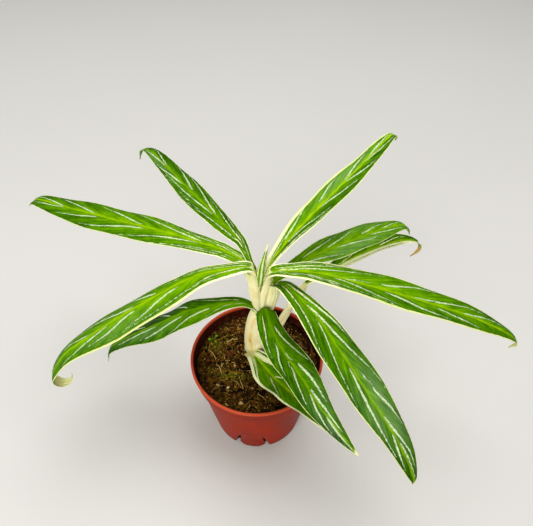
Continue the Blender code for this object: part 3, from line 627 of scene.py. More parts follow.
def leaf_ivory(tree, leaf_place):
    """The stalk's ivory, with faint ribs and ochre blotches, washed with green at its top."""
    grain = use_group(tree, LONG_GRAIN, {"Place": leaf_place, "Width": 1.0})
    ivory = blend(tree, rise(tree, grain.outputs["Ribs"], 0.3, 0.7), linear(238, 227, 156),
                  linear(250, 246, 206))
    ivory = blend(tree, rise(tree, grain.outputs["Blotches"], 0.52, 0.78, 0.0, 0.45), ivory,
                  linear(216, 190, 106))
    washed = sums(tree, "MULTIPLY", field(tree, "tint"),
                  rise(tree, grain.outputs["Ribs"], 0.42, 0.66, 0.1, 0.7))
    return blend(tree, washed, ivory, linear(170, 186, 52))


def make_leaf_finish():
    """Leaf and stalk: streaked green above, paler below, with cream margins and an ivory stalk."""
    finish, tree, shader = new_finish("streaked leaf")
    vein_place = field(tree, "vein_place", vector=True)
    leaf_place = field(tree, "leaf_place", vector=True)
    under = field(tree, "under")
    milk = field(tree, "milk")
    dry = field(tree, "dry")
    wide_veins = cloud(tree, stretch(tree, vein_place, (0.03, 0.42, 1.0)), detail=3.0)
    fine_veins = cloud(tree, stretch(tree, vein_place, (0.10, 2.2, 1.0)), detail=3.0)
    mottle = cloud(tree, stretch(tree, leaf_place, (0.11, 0.16, 1.0)), detail=4.0, roughness=0.6)
    painted = leaf_green(tree, vein_place, wide_veins, fine_veins, mottle)

    # Midrib, broken up along its length
    rib = ragged_mask(tree, field(tree, "rib"), leaf_place, 0.7, 1.0)
    rib = sums(tree, "MULTIPLY", rib, rise(tree, wide_veins, 0.34, 0.6, 0.15, 0.9))
    rib_colour = blend(tree, field(tree, "warm"), linear(92, 150, 2), linear(176, 204, 8))
    painted = blend(tree, rib, painted, rib_colour)

    # Streaks and a cream margin
    streak = leaf_streaks(tree, vein_place, fine_veins)
    streak_colour = blend(tree, milk, linear(198, 220, 172), linear(238, 238, 176))
    painted = blend(tree, streak, painted, streak_colour)
    margin = ragged_mask(tree, field(tree, "rim"), leaf_place, 0.4, 0.22)
    margin_colour = blend(tree, milk, linear(206, 212, 134), linear(242, 240, 192))
    painted = blend(tree, margin, painted, margin_colour)

    # The paler underside shows the same marks faintly
    beneath = blend(tree, 0.5, painted, linear(112, 150, 66))
    painted = blend(tree, under, painted, beneath)

    # Ivory stalk and dried tips
    pale = ragged_mask(tree, field(tree, "ivory"), leaf_place, 1.1, 1.2)
    painted = blend(tree, pale, painted, leaf_ivory(tree, leaf_place))
    husk = blend(tree, mottle, linear(150, 104, 44), linear(224, 188, 110))
    painted = blend(tree, dry, painted, husk)
    plug(tree, painted, shader.inputs["Base Color"])

    sheen = rise(tree, mottle, 0.3, 0.7, 0.36, 0.48)
    sheen = sums(tree, "MULTIPLY_ADD", under, 0.2, sheen)
    sheen = sums(tree, "MULTIPLY_ADD", dry, 0.25, sheen)
    plug(tree, sheen, shader.inputs["Roughness"])
    shader.inputs["IOR"].default_value = 1.4
    shader.inputs["Specular IOR Level"].default_value = 0.015
    ridges = sums(tree, "MULTIPLY_ADD", streak, 0.35, fine_veins)
    relief(tree, shader, ridges, 0.35, 0.0004)
    return finish


def make_stem_finish():
    """The ivory stem: ribbed sheaths, ochre where they overlap, and soil on its foot."""
    finish, tree, shader = new_finish("ivory stem")
    place = field(tree, "stem_place", vector=True)
    grain = use_group(tree, LONG_GRAIN, {"Place": place, "Width": 1.2})
    skin = blend(tree, rise(tree, grain.outputs["Ribs"], 0.3, 0.7), linear(236, 225, 154),
                 linear(248, 244, 204))
    skin = blend(tree, rise(tree, grain.outputs["Blotches"], 0.5, 0.75, 0.0, 0.45), skin,
                 linear(222, 200, 128))
    stained = rise(tree, grain.outputs["Blotches"], 0.35, 0.6, 0.15, 0.8)
    skin = blend(tree, sums(tree, "MULTIPLY", field(tree, "seam"), stained), skin, linear(228, 186, 92))
    scar_edge = cloud(tree, stretch(tree, place, (0.5, 0.9, 1.0)), detail=3.0)
    scar = rise(tree, sway(tree, scar_edge, 0.7, field(tree, "scar")), 0.3, 1.0, 0.0, 0.8)
    skin = blend(tree, scar, skin, linear(222, 150, 44))
    soiled = cloud(tree, stretch(tree, place, (0.35, 0.5, 1.0)), detail=4.0)
    soil_mask = rise(tree, sway(tree, soiled, 1.0, field(tree, "soiled")), 0.45, 0.7)
    skin = blend(tree, soil_mask, skin, linear(74, 50, 28))
    plug(tree, skin, shader.inputs["Base Color"])
    plug(tree, rise(tree, grain.outputs["Blotches"], 0.3, 0.7, 0.34, 0.5), shader.inputs["Roughness"])
    shader.inputs["IOR"].default_value = 1.4
    shader.inputs["Specular IOR Level"].default_value = 0.2
    relief(tree, shader, grain.outputs["Ribs"], 0.4, 0.0005)
    return finish


def make_pot_finish():
    """Terracotta coloured plastic: painted highlight on the lip, painted shade inside and under the collar,
    scuffs, fine speckle and soil dust inside.
    """
    finish, tree, shader = new_finish("terracotta plastic")
    place = field(tree, "pot_place", vector=True)
    broad = cloud(tree, stretch(tree, place, (0.03, 0.03, 0.03)), detail=4.0)
    fine = cloud(tree, stretch(tree, place, (1.6, 1.6, 1.6)), detail=3.0)
    skin = blend(tree, rise(tree, broad, 0.35, 0.65), linear(124, 27, 4), linear(146, 36, 8))
    skin = blend(tree, rise(tree, fine, 0.45, 0.8, 0.0, 0.25), skin, linear(170, 60, 26))
    # Painted shade: a dark line under the collar's step, standing for its shadow
    crease_shade = rise(tree, broad, 0.3, 0.7, 0.45, 0.85)
    skin = blend(tree, sums(tree, "MULTIPLY", field(tree, "crease"), crease_shade), skin, linear(72, 18, 6))
    # Painted highlight along the lip
    skin = blend(tree, field(tree, "lip"), skin, linear(196, 80, 48))
    # Painted shade: the inner wall darkened to a deep maroon
    skin = blend(tree, field(tree, "inside"), skin, linear(50, 11, 5))
    scuffs = cloud(tree, stretch(tree, place, (0.35, 0.35, 2.2)), detail=5.0, roughness=0.7)
    scuff = sums(tree, "MULTIPLY", rise(tree, scuffs, 0.6, 0.72), field(tree, "rubbed"))
    skin = blend(tree, sums(tree, "MULTIPLY", scuff, 0.6), skin, linear(226, 168, 146))
    dust = cloud(tree, stretch(tree, place, (0.28, 0.28, 0.5)), detail=5.0, roughness=0.65)
    dusty = sums(tree, "MULTIPLY", rise(tree, dust, 0.48, 0.62), field(tree, "dusty"))
    skin = blend(tree, dusty, skin, linear(70, 44, 26))
    plug(tree, skin, shader.inputs["Base Color"])
    plug(tree, sums(tree, "MULTIPLY_ADD", dusty, 0.3, rise(tree, broad, 0.3, 0.7, 0.36, 0.46)),
         shader.inputs["Roughness"])
    shader.inputs["Specular IOR Level"].default_value = 0.04
    relief(tree, shader, sums(tree, "MULTIPLY_ADD", scuff, 0.5, fine), 0.12, 0.0003)
    return finish


def make_soil_finish():
    """Dark damp peat with ochre and olive specks, and painted shade in its hollows."""
    finish, tree, shader = new_finish("peat")
    place = field(tree, "soil_place", vector=True)
    coarse = cloud(tree, stretch(tree, place, (0.22, 0.22, 0.22)), detail=5.0, roughness=0.7)
    fine = cloud(tree, stretch(tree, place, (1.1, 1.1, 1.1)), detail=4.0, roughness=0.7)
    mixed = sums(tree, "MULTIPLY_ADD", coarse, 0.6, sums(tree, "MULTIPLY", fine, 0.4))
    skin = colours(tree, mixed, (
        (0.0, linear(3, 2, 0)), (0.42, linear(14, 7, 2)), (0.50, linear(54, 31, 7)),
        (0.57, linear(110, 72, 16)), (0.70, linear(176, 132, 44))))
    # Painted shade: the hollows between crumbs darkened towards black
    skin = blend(tree, sums(tree, "MULTIPLY", field(tree, "hollow"), 0.8), skin, linear(8, 4, 1))
    mossy = cloud(tree, stretch(tree, place, (0.5, 0.5, 0.5)), detail=4.0)
    moss = sums(tree, "MULTIPLY", field(tree, "mossy"), rise(tree, mossy, 0.42, 0.6))
    skin = blend(tree, moss, skin, linear(96, 98, 24))
    plug(tree, skin, shader.inputs["Base Color"])
    plug(tree, rise(tree, fine, 0.3, 0.7, 0.6, 0.95), shader.inputs["Roughness"])
    shader.inputs["Specular IOR Level"].default_value = 0.06
    relief(tree, shader, mixed, 0.9, 0.0012)
    return finish


def make_litter_finish(name, stops, roughness):
    """Loose bits on the soil, each with its own shade from a run of colours."""
    finish, tree, shader = new_finish(name)
    place = field(tree, "soil_place", vector=True)
    specks = cloud(tree, stretch(tree, place, (1.4, 1.4, 1.4)), detail=4.0, roughness=0.65)
    shade = sway(tree, specks, 0.5, field(tree, "shade"))
    plug(tree, colours(tree, shade, stops), shader.inputs["Base Color"])
    plug(tree, rise(tree, specks, 0.3, 0.7, roughness - 0.12, roughness + 0.08),
         shader.inputs["Roughness"])
    shader.inputs["Specular IOR Level"].default_value = 0.06
    relief(tree, shader, specks, 0.6, 0.0005)
    return finish


# Leaves

def blade_half_width(leaf, t):
    """Half width of a blade at shares t of its length."""
    t = np.asarray(t, float)
    rising = leaf.base + (1 - leaf.base) * np.sin(np.clip(t / leaf.widest, 0, 1) * pi / 2) ** 1.3
    falling = np.cos(np.clip((t - leaf.widest) / (1 - leaf.widest), 0, 1) * pi / 2)
    falling = np.maximum(falling, 0) ** (0.85 - 0.4 * leaf.blunt)
    return np.maximum(leaf.half_width * np.where(t < leaf.widest, rising, falling), TIP_HALF_WIDTH)


def kept_share(leaf, side, t):
    """Share of the half width that one side of a blade keeps."""
    shares = leaf.left if side == LEFT else leaf.right
    return np.interp(t, (0, 0.25, 0.5, 0.75), (1, *shares))


def blade_line(leaf, count):
    """Along a blade's midrib: shares of its length, and the place, tangent, right and up at each."""
    heading = radians(leaf.heading)
    outward = Vector((cos(heading), sin(heading), 0))
    right = Vector((sin(heading), -cos(heading), 0))
    furthest = max(reach for reach, rise in leaf.arch)
    shares, points = smooth_path([(reach, rise, 0) for reach, rise in leaf.arch], count, packed=0.6)
    places = []
    for point in points:
        drift = leaf.drift * (point.x / furthest) ** 2
        places.append(Vector(leaf.root) + outward * point.x + right * drift + Vector((0, 0, point.y)))
    return shares, places, add_frames(places, right)


def add_frames(places, right):
    """Tangent, right and up at each place of a line."""
    frames = []
    last = len(places) - 1
    for row in range(len(places)):
        tangent = (places[min(row + 1, last)] - places[max(row - 1, 0)]).normalized()
        side = (right - tangent * right.dot(tangent)).normalized()
        frames.append((tangent, side, side.cross(tangent)))
    return frames


def streak_field(leaf, along, across, length):
    """Millimetres inside the nearest streak, below zero outside it."""
    inside = np.full(along.shape, -6.0)
    for side, start, near, end, far, width in MARKINGS[leaf.name].streaks:
        s = np.linspace(0, 1, 110)
        t = start + (end - start) * s
        bend = 0.5 * s + 0.5 * (3 * s ** 2 - 2 * s ** 3)
        wobble = 0.028 * np.sin(7 * s + 40 * start) * np.sin(pi * s)
        out = (near + (far - near) * bend + wobble) * blade_half_width(leaf, t) * kept_share(leaf, side, t)
        half = STREAK_SHARE * width * np.sin(pi * np.clip(s, 0.004, 0.996) ** 0.55) ** 0.7
        reach = half - np.hypot(along[..., None] - t * length, across[..., None] - side * out)
        inside = np.maximum(inside, reach.max(axis=-1))
    return inside


def leaf_rows(leaf):
    """Rows from the stalk's start to the blade's tip: place, frame and section at each."""
    shares, places, frames = blade_line(leaf, BLADE_ROWS)
    start = frames[0]
    points = list(leaf.stalk) + [leaf.root]
    stalk_shares, stalk_places = smooth_path(points, STALK_ROWS, after=Vector(leaf.root) + start[0] * 9)
    stalk_frames = add_frames(stalk_places, start[1])
    t = np.array([share - 1 for share in stalk_shares[:-1]] + shares)
    places = stalk_places[:-1] + places
    frames = stalk_frames[:-1] + frames
    along = np.zeros(len(places))
    for row in range(1, len(places)):
        along[row] = along[row - 1] + (places[row] - places[row - 1]).length
    return t, np.array(places), np.array(frames), along - along[STALK_ROWS - 1]


def painted_sheen_field(leaf, t, v):
    """How strongly a blade carries painted sheen, pale patches that stand for soft highlights."""
    frost = np.zeros((len(t), COLUMNS))
    for side, middle, reach, out, spread, strength in MARKINGS[leaf.name].frost:
        near = ((t[:, None] - middle) / reach) ** 2 + ((v[None, :] * side - out) / spread) ** 2
        frost = np.maximum(frost, strength * np.exp(-near))
    return frost


def make_leaf(leaf, finish):
    """A blade and its stalk as one closed skin, with its marks."""
    joint = ROOTS[leaf.name]
    t, places, frames, along = leaf_rows(leaf)
    blade_t = np.clip(t, 0, 1)
    v = np.linspace(-1, 1, COLUMNS)
    v = np.sign(v) * (1 - (1 - np.abs(v)) ** 1.15)
    size = np.abs(v)[None, :]
    kept = np.where(v[None, :] < 0, kept_share(leaf, LEFT, blade_t)[:, None],
                    kept_share(leaf, RIGHT, blade_t)[:, None])
    stand_off = np.where(t < 0, ease(t, -1, 0), 1 - ease(along, 0, 24))
    places = places + stand_off[:, None] * np.array(joint.shift)

    # Section of each row: an open gutter in the stalk that flattens into the blade
    root_half = float(blade_half_width(leaf, 0.0))
    swell = 0.5 + 0.5 * ease(t, -1.0, -0.35)
    root_half = max(root_half, ROOT_HALF_WIDTH)
    stalk_half = joint.half * swell + (root_half - joint.half) * ease(t, -0.45, 0.0)
    half = np.where(t < 0, 0.0, blade_half_width(leaf, blade_t))
    half = np.where(t < 0, stalk_half, np.maximum(half, stalk_half * (1 - ease(along, 0, 16))))
    curl = (1.7 - 0.9 * ease(t, -0.5, 0.0)) * np.minimum(1.0, 5.0 / half)
    opened = along + joint.sooner
    wrap = np.maximum(curl * (1 - ease(opened, 0, OPENING)), 0.02)
    gutter = (1 - ease(opened, -3, 11))[:, None]
    radius = half / np.sin(wrap / 2)
    turn = v[None, :] * (wrap / 2)[:, None] * kept
    across = v[None, :] * (radius * wrap / 2)[:, None] * kept
    grid_along = np.repeat(along[:, None], COLUMNS, axis=1)

    # Blade's own form: cupped, waved, quilted between the side veins and grooved over the midrib
    cup = between(leaf.cup, blade_t)[:, None]
    lift = half[:, None] * kept * ((cup + HALF_DOME) * size - HALF_DOME * size ** 2)
    phase = leaf.heading * 0.07
    wave = (WAVE_HEIGHT * size ** 2 * np.sin(pi * blade_t)[:, None]
            * np.sin(tau * WAVES * blade_t[:, None] + phase + 1.3 * v[None, :]))
    quilt = QUILT_HEIGHT * np.sin(tau * across_veins(grid_along, across) / VEIN_PITCH) * size * (1 - size)
    groove = -GROOVE_DEPTH * np.exp(-across ** 2) * (1 - 0.7 * blade_t[:, None])
    lift = (lift + wave + quilt + groove) * (1 - gutter)
    lift = lift + GUTTER_LIFT * ((1 - ease(t, -0.7, 0.0)) * swell)[:, None]

    # Thickness: a deep crescent in the stalk, and a keel under the blade's midrib
    depth = joint.depth * (swell * (1 - 0.2 * ease(t, -1.0, 0.0)))[:, None]
    crescent = depth * np.sqrt(1 - 0.995 * size ** 2)
    crescent = crescent + STALK_RIB * np.cos(STALK_RIBS * v[None, :]) * (1 - size ** 4)
    keel = RIB_DEPTH * (1 - blade_t[:, None]) ** 1.6 * np.exp(-(across / 1.9) ** 2)
    rim_round = np.sqrt(np.maximum(1 - size ** 8, 0.04))
    thick = crescent * gutter + keel * (1 - gutter) + MARGIN_THICKNESS * rim_round

    side = frames[:, 1][:, None, :]
    up = frames[:, 2][:, None, :]
    centre = places[:, None, :]
    r = radius[:, None]

    def skin(deep):
        """One sheet of the blade, so deep below its upper face."""
        x = (r + deep) * np.sin(turn)
        z = r - (r + deep) * np.cos(turn) + lift
        return centre + side * x[..., None] + up * z[..., None]

    corners = np.concatenate([skin(0 * thick).reshape(-1, 3), skin(thick).reshape(-1, 3)])
    piece = make_object(leaf.name + "_blade", corners, skin_faces(len(t), COLUMNS), finish, crease=70)
    mark_leaf(piece, leaf, t, v, grid_along, across, half[:, None] * kept)
    return settle(piece, "leaf", leaf.name)


def across_veins(along, across):
    """Distance across the side veins, which lean forwards on both sides of the midrib."""
    return -along * sin(VEIN_SLOPE) + np.abs(across) * cos(VEIN_SLOPE)


def mark_leaf(piece, leaf, t, v, along, across, kept_half):
    """Give a blade the fields that its marks are drawn from."""
    marking = MARKINGS[leaf.name]
    length = along[-1, 0]
    row_t = np.clip(t, 0, 1)[:, None]
    size = np.abs(v)[None, :]

    # Cream margins, wider at the root
    left_margin, right_margin, flare = marking.margins
    margin = np.where(v < 0, left_margin, right_margin)[None, :]
    margin = margin * (0.55 + 0.45 * (1 - ease(row_t, 0.3, 0.95)) + flare * np.exp(-along / 30))
    past = along - ROOTS[leaf.name].green
    rim = np.where(past < -6, -3.0, margin - (1 - size) * kept_half)

    # Green tones, lighter on both sides of the midrib
    tone = marking.tones[0] + (marking.tones[1] - marking.tones[0]) * ease(v, -0.15, 0.15)[None, :]
    tone = tone + 0.02 - 0.14 * size ** 2 - marking.fade * row_t
    tone = tone + (0.06 + 0.12 * marking.warm) * (1 - ease(size, 0, 0.5)) * (0.5 + ease(row_t, 0, 0.5) * 0.4)
    rib = 0.6 + 0.3 * (1 - row_t) - 1.5 * (1 - marking.warm) * (1 - ease(row_t, 0, 0.4)) - np.abs(across)

    # Ivory stalk, which runs a little way up the midrib and the edges
    fading = np.exp(-np.maximum(past, 0) / 14)
    ivory = -0.9 * past + 2.4 * np.exp(-(across / 1.3) ** 2) * fading + 1.8 * ease(size, 0.6, 1.0) * fading
    ivory = np.maximum(ivory, 0.6 * (along - PALE_TIPS.get(leaf.name, 1.2) * length))
    dry_from = DRY_TIPS.get(leaf.name, 0.992)
    fields = {
        "streak": streak_field(leaf, along, across, length),
        "rim": rim,
        "tone": tone,
        "rib": rib,
        "ivory": ivory,
        "frost": painted_sheen_field(leaf, t, v),
        "milk": 1 - ease(row_t, 0.0, 0.42) * (0.1 if leaf.name in CREAMY else 0.85),
        "tint": ease(past, -18, 0),
        "dry": ease(row_t + 0.01 * np.sin(9 * v[None, :]), dry_from, dry_from + 0.02),
        "warm": np.array(marking.warm),
    }
    for name, values in fields.items():
        give_twice(piece, name, values)
    give_field(piece, "under", np.repeat((0, 1), along.size))
    along_vein = along * cos(VEIN_SLOPE) + np.abs(across) * sin(VEIN_SLOPE)
    seed = leaf.heading * 0.37
    give_places(piece, "vein_place", along_vein, across_veins(along, across),
                seed + 7 * np.sign(v)[None, :])
    give_places(piece, "leaf_place", along, across, np.array(seed))


def skin_faces(rows, columns):
    """Faces of two sheets that are joined all round."""
    below = rows * columns
    faces = []
    for row in range(rows - 1):
        for column in range(columns - 1):
            a = row * columns + column
            faces.append((a, a + 1, a + columns + 1, a + columns))
            faces.append((below + a, below + a + columns, below + a + columns + 1, below + a + 1))
        for edge in (row * columns, row * columns + columns - 1):
            faces.append((edge, edge + columns, below + edge + columns, below + edge))
    for end in (0, (rows - 1) * columns):
        for column in range(columns - 1):
            a = end + column
            faces.append((a, a + 1, below + a + 1, below + a))
    return faces


def rod_faces(rings, sides):
    """Faces of a rod made of rings of corners, closed at both ends."""
    faces = [tuple(range(sides)), tuple(range((rings - 1) * sides, rings * sides))]
    for ring in range(rings - 1):
        for k in range(sides):
            a = ring * sides + k
            b = ring * sides + (k + 1) % sides
            faces.append((a, b, b + sides, a + sides))
    return faces


def thin_rod(path, halves, sides):
    """Corners and faces of a thin rod along a path, with its half width at each place."""
    corners = []
    last = len(path) - 1
    for step, place in enumerate(path):
        ahead = (path[min(step + 1, last)] - path[max(step - 1, 0)]).normalized()
        across = ahead.cross(Vector((0.2, 0.1, 1))).normalized()
        over = across.cross(ahead)
        for k in range(sides):
            turn = tau * k / sides
            corners.append(place + across * (halves[step] * cos(turn)) + over * (halves[step] * sin(turn)))
    return corners, rod_faces(len(path), sides)


def give_twice(piece, name, values):
    """The same field for a skin's upper and lower sheet."""
    rows = len(piece.data.vertices) // (2 * COLUMNS)
    full = np.broadcast_to(values, (rows, COLUMNS)).ravel()
    give_field(piece, name, np.concatenate([full, full]))


def give_places(piece, name, first, second, third):
    """The same place field for a skin's upper and lower sheet."""
    shape = first.shape
    stacked = np.stack([np.broadcast_to(part, shape) for part in (first, second, third)], axis=-1)
    stacked = stacked.reshape(-1, 3)
    give_place(piece, name, np.concatenate([stacked, stacked]))


def make_rolled_leaf(finish):
    """The new leaf, rolled round itself with its free edge along the front."""
    stalk_shares, stalk_line = smooth_path(SPEAR_STALK, SPEAR_STALK_ROWS, after=SPEAR[1])
    shares, line = smooth_path(SPEAR, SPEAR_ROWS - SPEAR_STALK_ROWS + 1, before=SPEAR_STALK[-2])
    places = stalk_line[:-1] + line
    t = np.array([share - 1 for share in stalk_shares[:-1]] + shares)
    frames = add_frames(places, Vector((1, 0, 0)))
    knots = np.linspace(0, 1, len(SPEAR_HALF_WIDTHS))
    half = np.where(t < 0, SPEAR_STALK_HALF - (t + 1), np.interp(t, knots, SPEAR_HALF_WIDTHS))
    half = half * (1 - 0.85 * ease(t, 0.93, 1.0))
    corners = []
    around = []
    along = []
    for row, place in enumerate(places):
        tangent, side, up = frames[row]
        for k in range(SPEAR_SIDES):
            share = k / (SPEAR_SIDES - 1)
            angle = radians(-125) + tau * share + 1.1 * t[row]
            wrap = half[row] * (0.86 + 0.22 * share * ease(t[row], -0.3, 0.2))
            corners.append(place + side * (wrap * cos(angle)) + up * (wrap * sin(angle)))
            around.append(share)
            along.append(t[row] * 50)
    faces = rod_faces(SPEAR_ROWS, SPEAR_SIDES)
    piece = make_object("leaf_rolled_skin", corners, faces, finish, crease=60)

    # Fields for the finish, in the same words as the open leaves'
    around = np.array(around)
    along = np.array(along)
    lines = [band - np.abs(around - middle) * 22 for middle, band in
             ((0.14, 2.4), (0.36, 0.8), (0.52, 0.9), (0.70, 0.9), (0.86, 0.7))]
    ones = np.ones(len(around))
    fields = {
        "streak": np.where(along > -20, np.max(lines, axis=0), -3),
        "rim": np.where(along > -20, 1.0 - np.minimum(around, 1 - around) * 16, -3),
        "tone": 0.95 - 0.2 * ease(along, 10, 50),
        "rib": -3,
        "ivory": np.maximum(-16 - along * 0.8, (along - 42) * 0.6),
        "frost": 0,
        "milk": 1,
        "tint": ease(along, -34, -14) * (1 - ease(along, 20, 40)),
        "dry": 0,
        "warm": 0.5,
        "under": 0,
    }
    for name, values in fields.items():
        give_field(piece, name, values * ones)
    spread = np.stack([along, around * 16, 3 * ones], axis=-1)
    give_place(piece, "vein_place", spread)
    give_place(piece, "leaf_place", spread)
    return settle(piece, "leaf", "leaf_rolled")


# Stems

def make_stem(stem, finish):
    """An ivory stem wrapped in sheaths, each with an oblique mouth, and one long overlap down the front."""
    points = [(*station.place, station.half_x, station.half_y) for station in stem.stations]
    line = np.array(smooth_path(points, stem.rows)[1])
    angles = np.linspace(0, tau, stem.sides, endpoint=False)
    centre = line[:, None, :3]
    wide = line[:, 3:]
    height = np.repeat(centre[..., 2], stem.sides, axis=1)
    grow = np.zeros((stem.rows, stem.sides))
    for turn, low, high in stem.sheaths:
        mouth = low + (high - low) * (0.5 + 0.5 * np.cos(angles - radians(turn))) ** 1.5
        grow += SHEATH_EDGE * (1 - ease(height - mouth[None, :], -0.4, 0.8))
    wander = radians(stem.seam_turn) + 0.12 * np.sin(height * 0.09)
    behind = (angles[None, :] - wander + pi) % tau - pi
    seam_reach = 1 - ease(height, stem.seam_top - 6, stem.seam_top)
    overlap = np.where(behind > 0, 1 - ease(behind, 0.5, 2.2), 0.0) * ease(behind, -0.03, 0.05)
    grow += SEAM_EDGE * overlap * seam_reach
    grow += STEM_RIB * np.sin(angles * STEM_RIBS)[None, :] * (1 - overlap)
    grow = grow - STEM_INSET
    x = np.cos(angles)[None, :] * (wide[:, 0:1] + grow)
    y = np.sin(angles)[None, :] * (wide[:, 1:2] + grow)
    corners = centre + np.stack([x, y, np.zeros_like(x)], axis=-1)
    faces = rod_faces(stem.rows, stem.sides)
    piece = make_object(stem.name, corners.reshape(-1, 3), faces, finish, crease=80)
    give_field(piece, "seam", np.exp(-np.abs(behind + 0.05) / 0.2) * seam_reach)
    scar = np.exp(-((height - SCAR_LEVEL) / 5) ** 2) * np.exp(-((behind + 0.1) / 0.2) ** 2)
    give_field(piece, "scar", stem.scar * scar)
    give_field(piece, "soiled", 1 - ease(height, SOIL_LEVEL - 1.5, SOIL_LEVEL + 8.5) * 0.9)
    around = (angles[None, :] + 0 * height) * 9
    give_place(piece, "stem_place", np.stack([height, around, height * 0], axis=-1).reshape(-1, 3))
    return settle(piece, "stalk", stem.node)


# Pot

def body_radius(height):
    """Outer radius of the pot's tapering body."""
    return BASE_RADIUS + (BODY_TOP_RADIUS - BASE_RADIUS) * height / SHOULDER_HEIGHT


def rounded(profile, radius, steps=4):
    """An outline whose corners are rounded, each no further than half way to the next corner."""
    smooth = [profile[0]]
    for before, corner, after in zip(profile, profile[1:], profile[2:]):
        here = Vector(corner)
        back = Vector(before) - here
        ahead = Vector(after) - here
        reach = min(radius, back.length * 0.45, ahead.length * 0.45)
        start = here + back.normalized() * reach
        end = here + ahead.normalized() * reach
        for step in range(steps + 1):
            share = step / steps
            bend = start.lerp(here, share).lerp(here.lerp(end, share), share)
            smooth.append((bend.x, bend.y))
    smooth.append(profile[-1])
    return smooth


def pot_profile():
    """The pot's outline from the middle of its base, up the outside, and down the inside."""
    lip_low = POT_HEIGHT - LIP_HEIGHT
    inner_floor = body_radius(FLOOR) - WALL
    heights = (5, 9, 13, 17, 21, 25, 29, 33, 38, 46, 54, 62, 70)
    outside = [(body_radius(height), height) for height in heights]
    inside = [(body_radius(height) - WALL, height) for height in reversed(heights)]
    collar_inside = [(COLLAR_RADIUS - WALL - 0.9 + 1.8 * share, SHOULDER_HEIGHT + 0.9 + 13.9 * share)
                     for share in (0.94, 0.84, 0.7, 0.5, 0.25)]
    profile = [
        (0, 0), (BASE_RADIUS - 2.4, 0), (body_radius(1.6), 1.6), *outside,
        (body_radius(SHOULDER_HEIGHT - 3.6), SHOULDER_HEIGHT - 3.6),
        (body_radius(SHOULDER_HEIGHT - 1.5), SHOULDER_HEIGHT - 1.5),
        (COLLAR_RADIUS - 0.9, SHOULDER_HEIGHT),
        (COLLAR_RADIUS, lip_low - 0.4),
        (RIM_RADIUS, lip_low), (RIM_RADIUS, POT_HEIGHT),
        (COLLAR_RADIUS - WALL + 0.9, POT_HEIGHT - 0.2),
        *collar_inside, (COLLAR_RADIUS - WALL - 0.9, SHOULDER_HEIGHT + 0.9),
        (body_radius(SHOULDER_HEIGHT - 0.6) - WALL, SHOULDER_HEIGHT - 0.6),
        *inside, (inner_floor, FLOOR), (0, FLOOR)]
    return rounded(profile, 0.8)


def wall_fold(angle, height):
    """How far the wall bends in beside the nearest slot, more on the side of the lobe."""
    fold = 0.0
    for lobe in range(LOBES):
        for hand in (-1, 1):
            lean = SLOT_SPREAD_LOW + (SLOT_SPREAD_HIGH - SLOT_SPREAD_LOW) * height / SLOT_HEIGHT
            turn = angle - radians(LOBE_TURN + 360 / LOBES * lobe + hand * lean)
            gap = hand * ((turn + pi) % tau - pi) * BASE_RADIUS
            width = LOBE_FOLD_WIDTH if gap < 0 else WALL_FOLD_WIDTH
            fold = max(fold, FOLD_DEPTH * float(np.exp(-(gap / width) ** 2)))
    return fold * float(1 - ease(height, 0.5 * SLOT_HEIGHT, 1.4 * SLOT_HEIGHT))


def wall_ring(radius, height, angles):
    """Corners of one ring round the pot's wall, bent in beside the slots."""
    corners = []
    for angle in angles:
        bent = radius - wall_fold(angle, height)
        corners.append((bent * cos(angle), bent * sin(angle), height))
    return corners


def turned_faces(rings, sides):
    """Faces of a turned shape: a corner at its foot, rings of corners, and a corner that closes it."""
    last = 1 + rings * sides
    faces = []
    for k in range(sides):
        following = (k + 1) % sides
        faces.append((0, 1 + following, 1 + k))
        for ring in range(rings - 1):
            a = 1 + ring * sides + k
            b = 1 + ring * sides + following
            faces.append((a, b, b + sides, a + sides))
        end = last - sides
        faces.append((last, end + k, end + following))
    return faces


def foot_slot(lobe, hand, finish):
    """A cutter for one slot through the pot's wall, round at its top, beside a lobe of the foot."""
    middle = LOBE_TURN + 360 / LOBES * lobe
    low = radians(middle + hand * SLOT_SPREAD_LOW)
    high = radians(middle + hand * SLOT_SPREAD_HIGH)
    spread = SLOT_WIDTH / 2 / BASE_RADIUS
    outline = []
    steps = 10
    for step in range(steps + 1):
        share = step / steps
        height = -1 + (SLOT_HEIGHT + 1) * share
        half = spread * (1 - share) ** 0.75 + 0.010
        outline.append((low + (high - low) * share - half, height, low + (high - low) * share + half))
    ring = [(left, height) for left, height, right in outline]
    ring += [(right, height) for left, height, right in reversed(outline)]
    corners = []
    for radius in (BASE_RADIUS - 6, BASE_RADIUS + 6):
        corners += [(radius * cos(angle), radius * sin(angle), height) for angle, height in ring]
    return make_object("slot_cutter", corners, rod_faces(2, len(ring)), finish, smooth=False)


def drain_hole(number, finish):
    """A cutter for one round hole through the pot's floor."""
    angle = tau * (number + 0.5) / DRAIN_HOLES
    sides = 40
    corners = []
    for height in (-1, FLOOR + 1):
        for k in range(sides):
            turn = tau * k / sides
            corners.append((DRAIN_RING * cos(angle) + DRAIN_RADIUS * cos(turn),
                            DRAIN_RING * sin(angle) + DRAIN_RADIUS * sin(turn), height))
    return make_object("hole_cutter", corners, rod_faces(2, sides), finish, smooth=False)


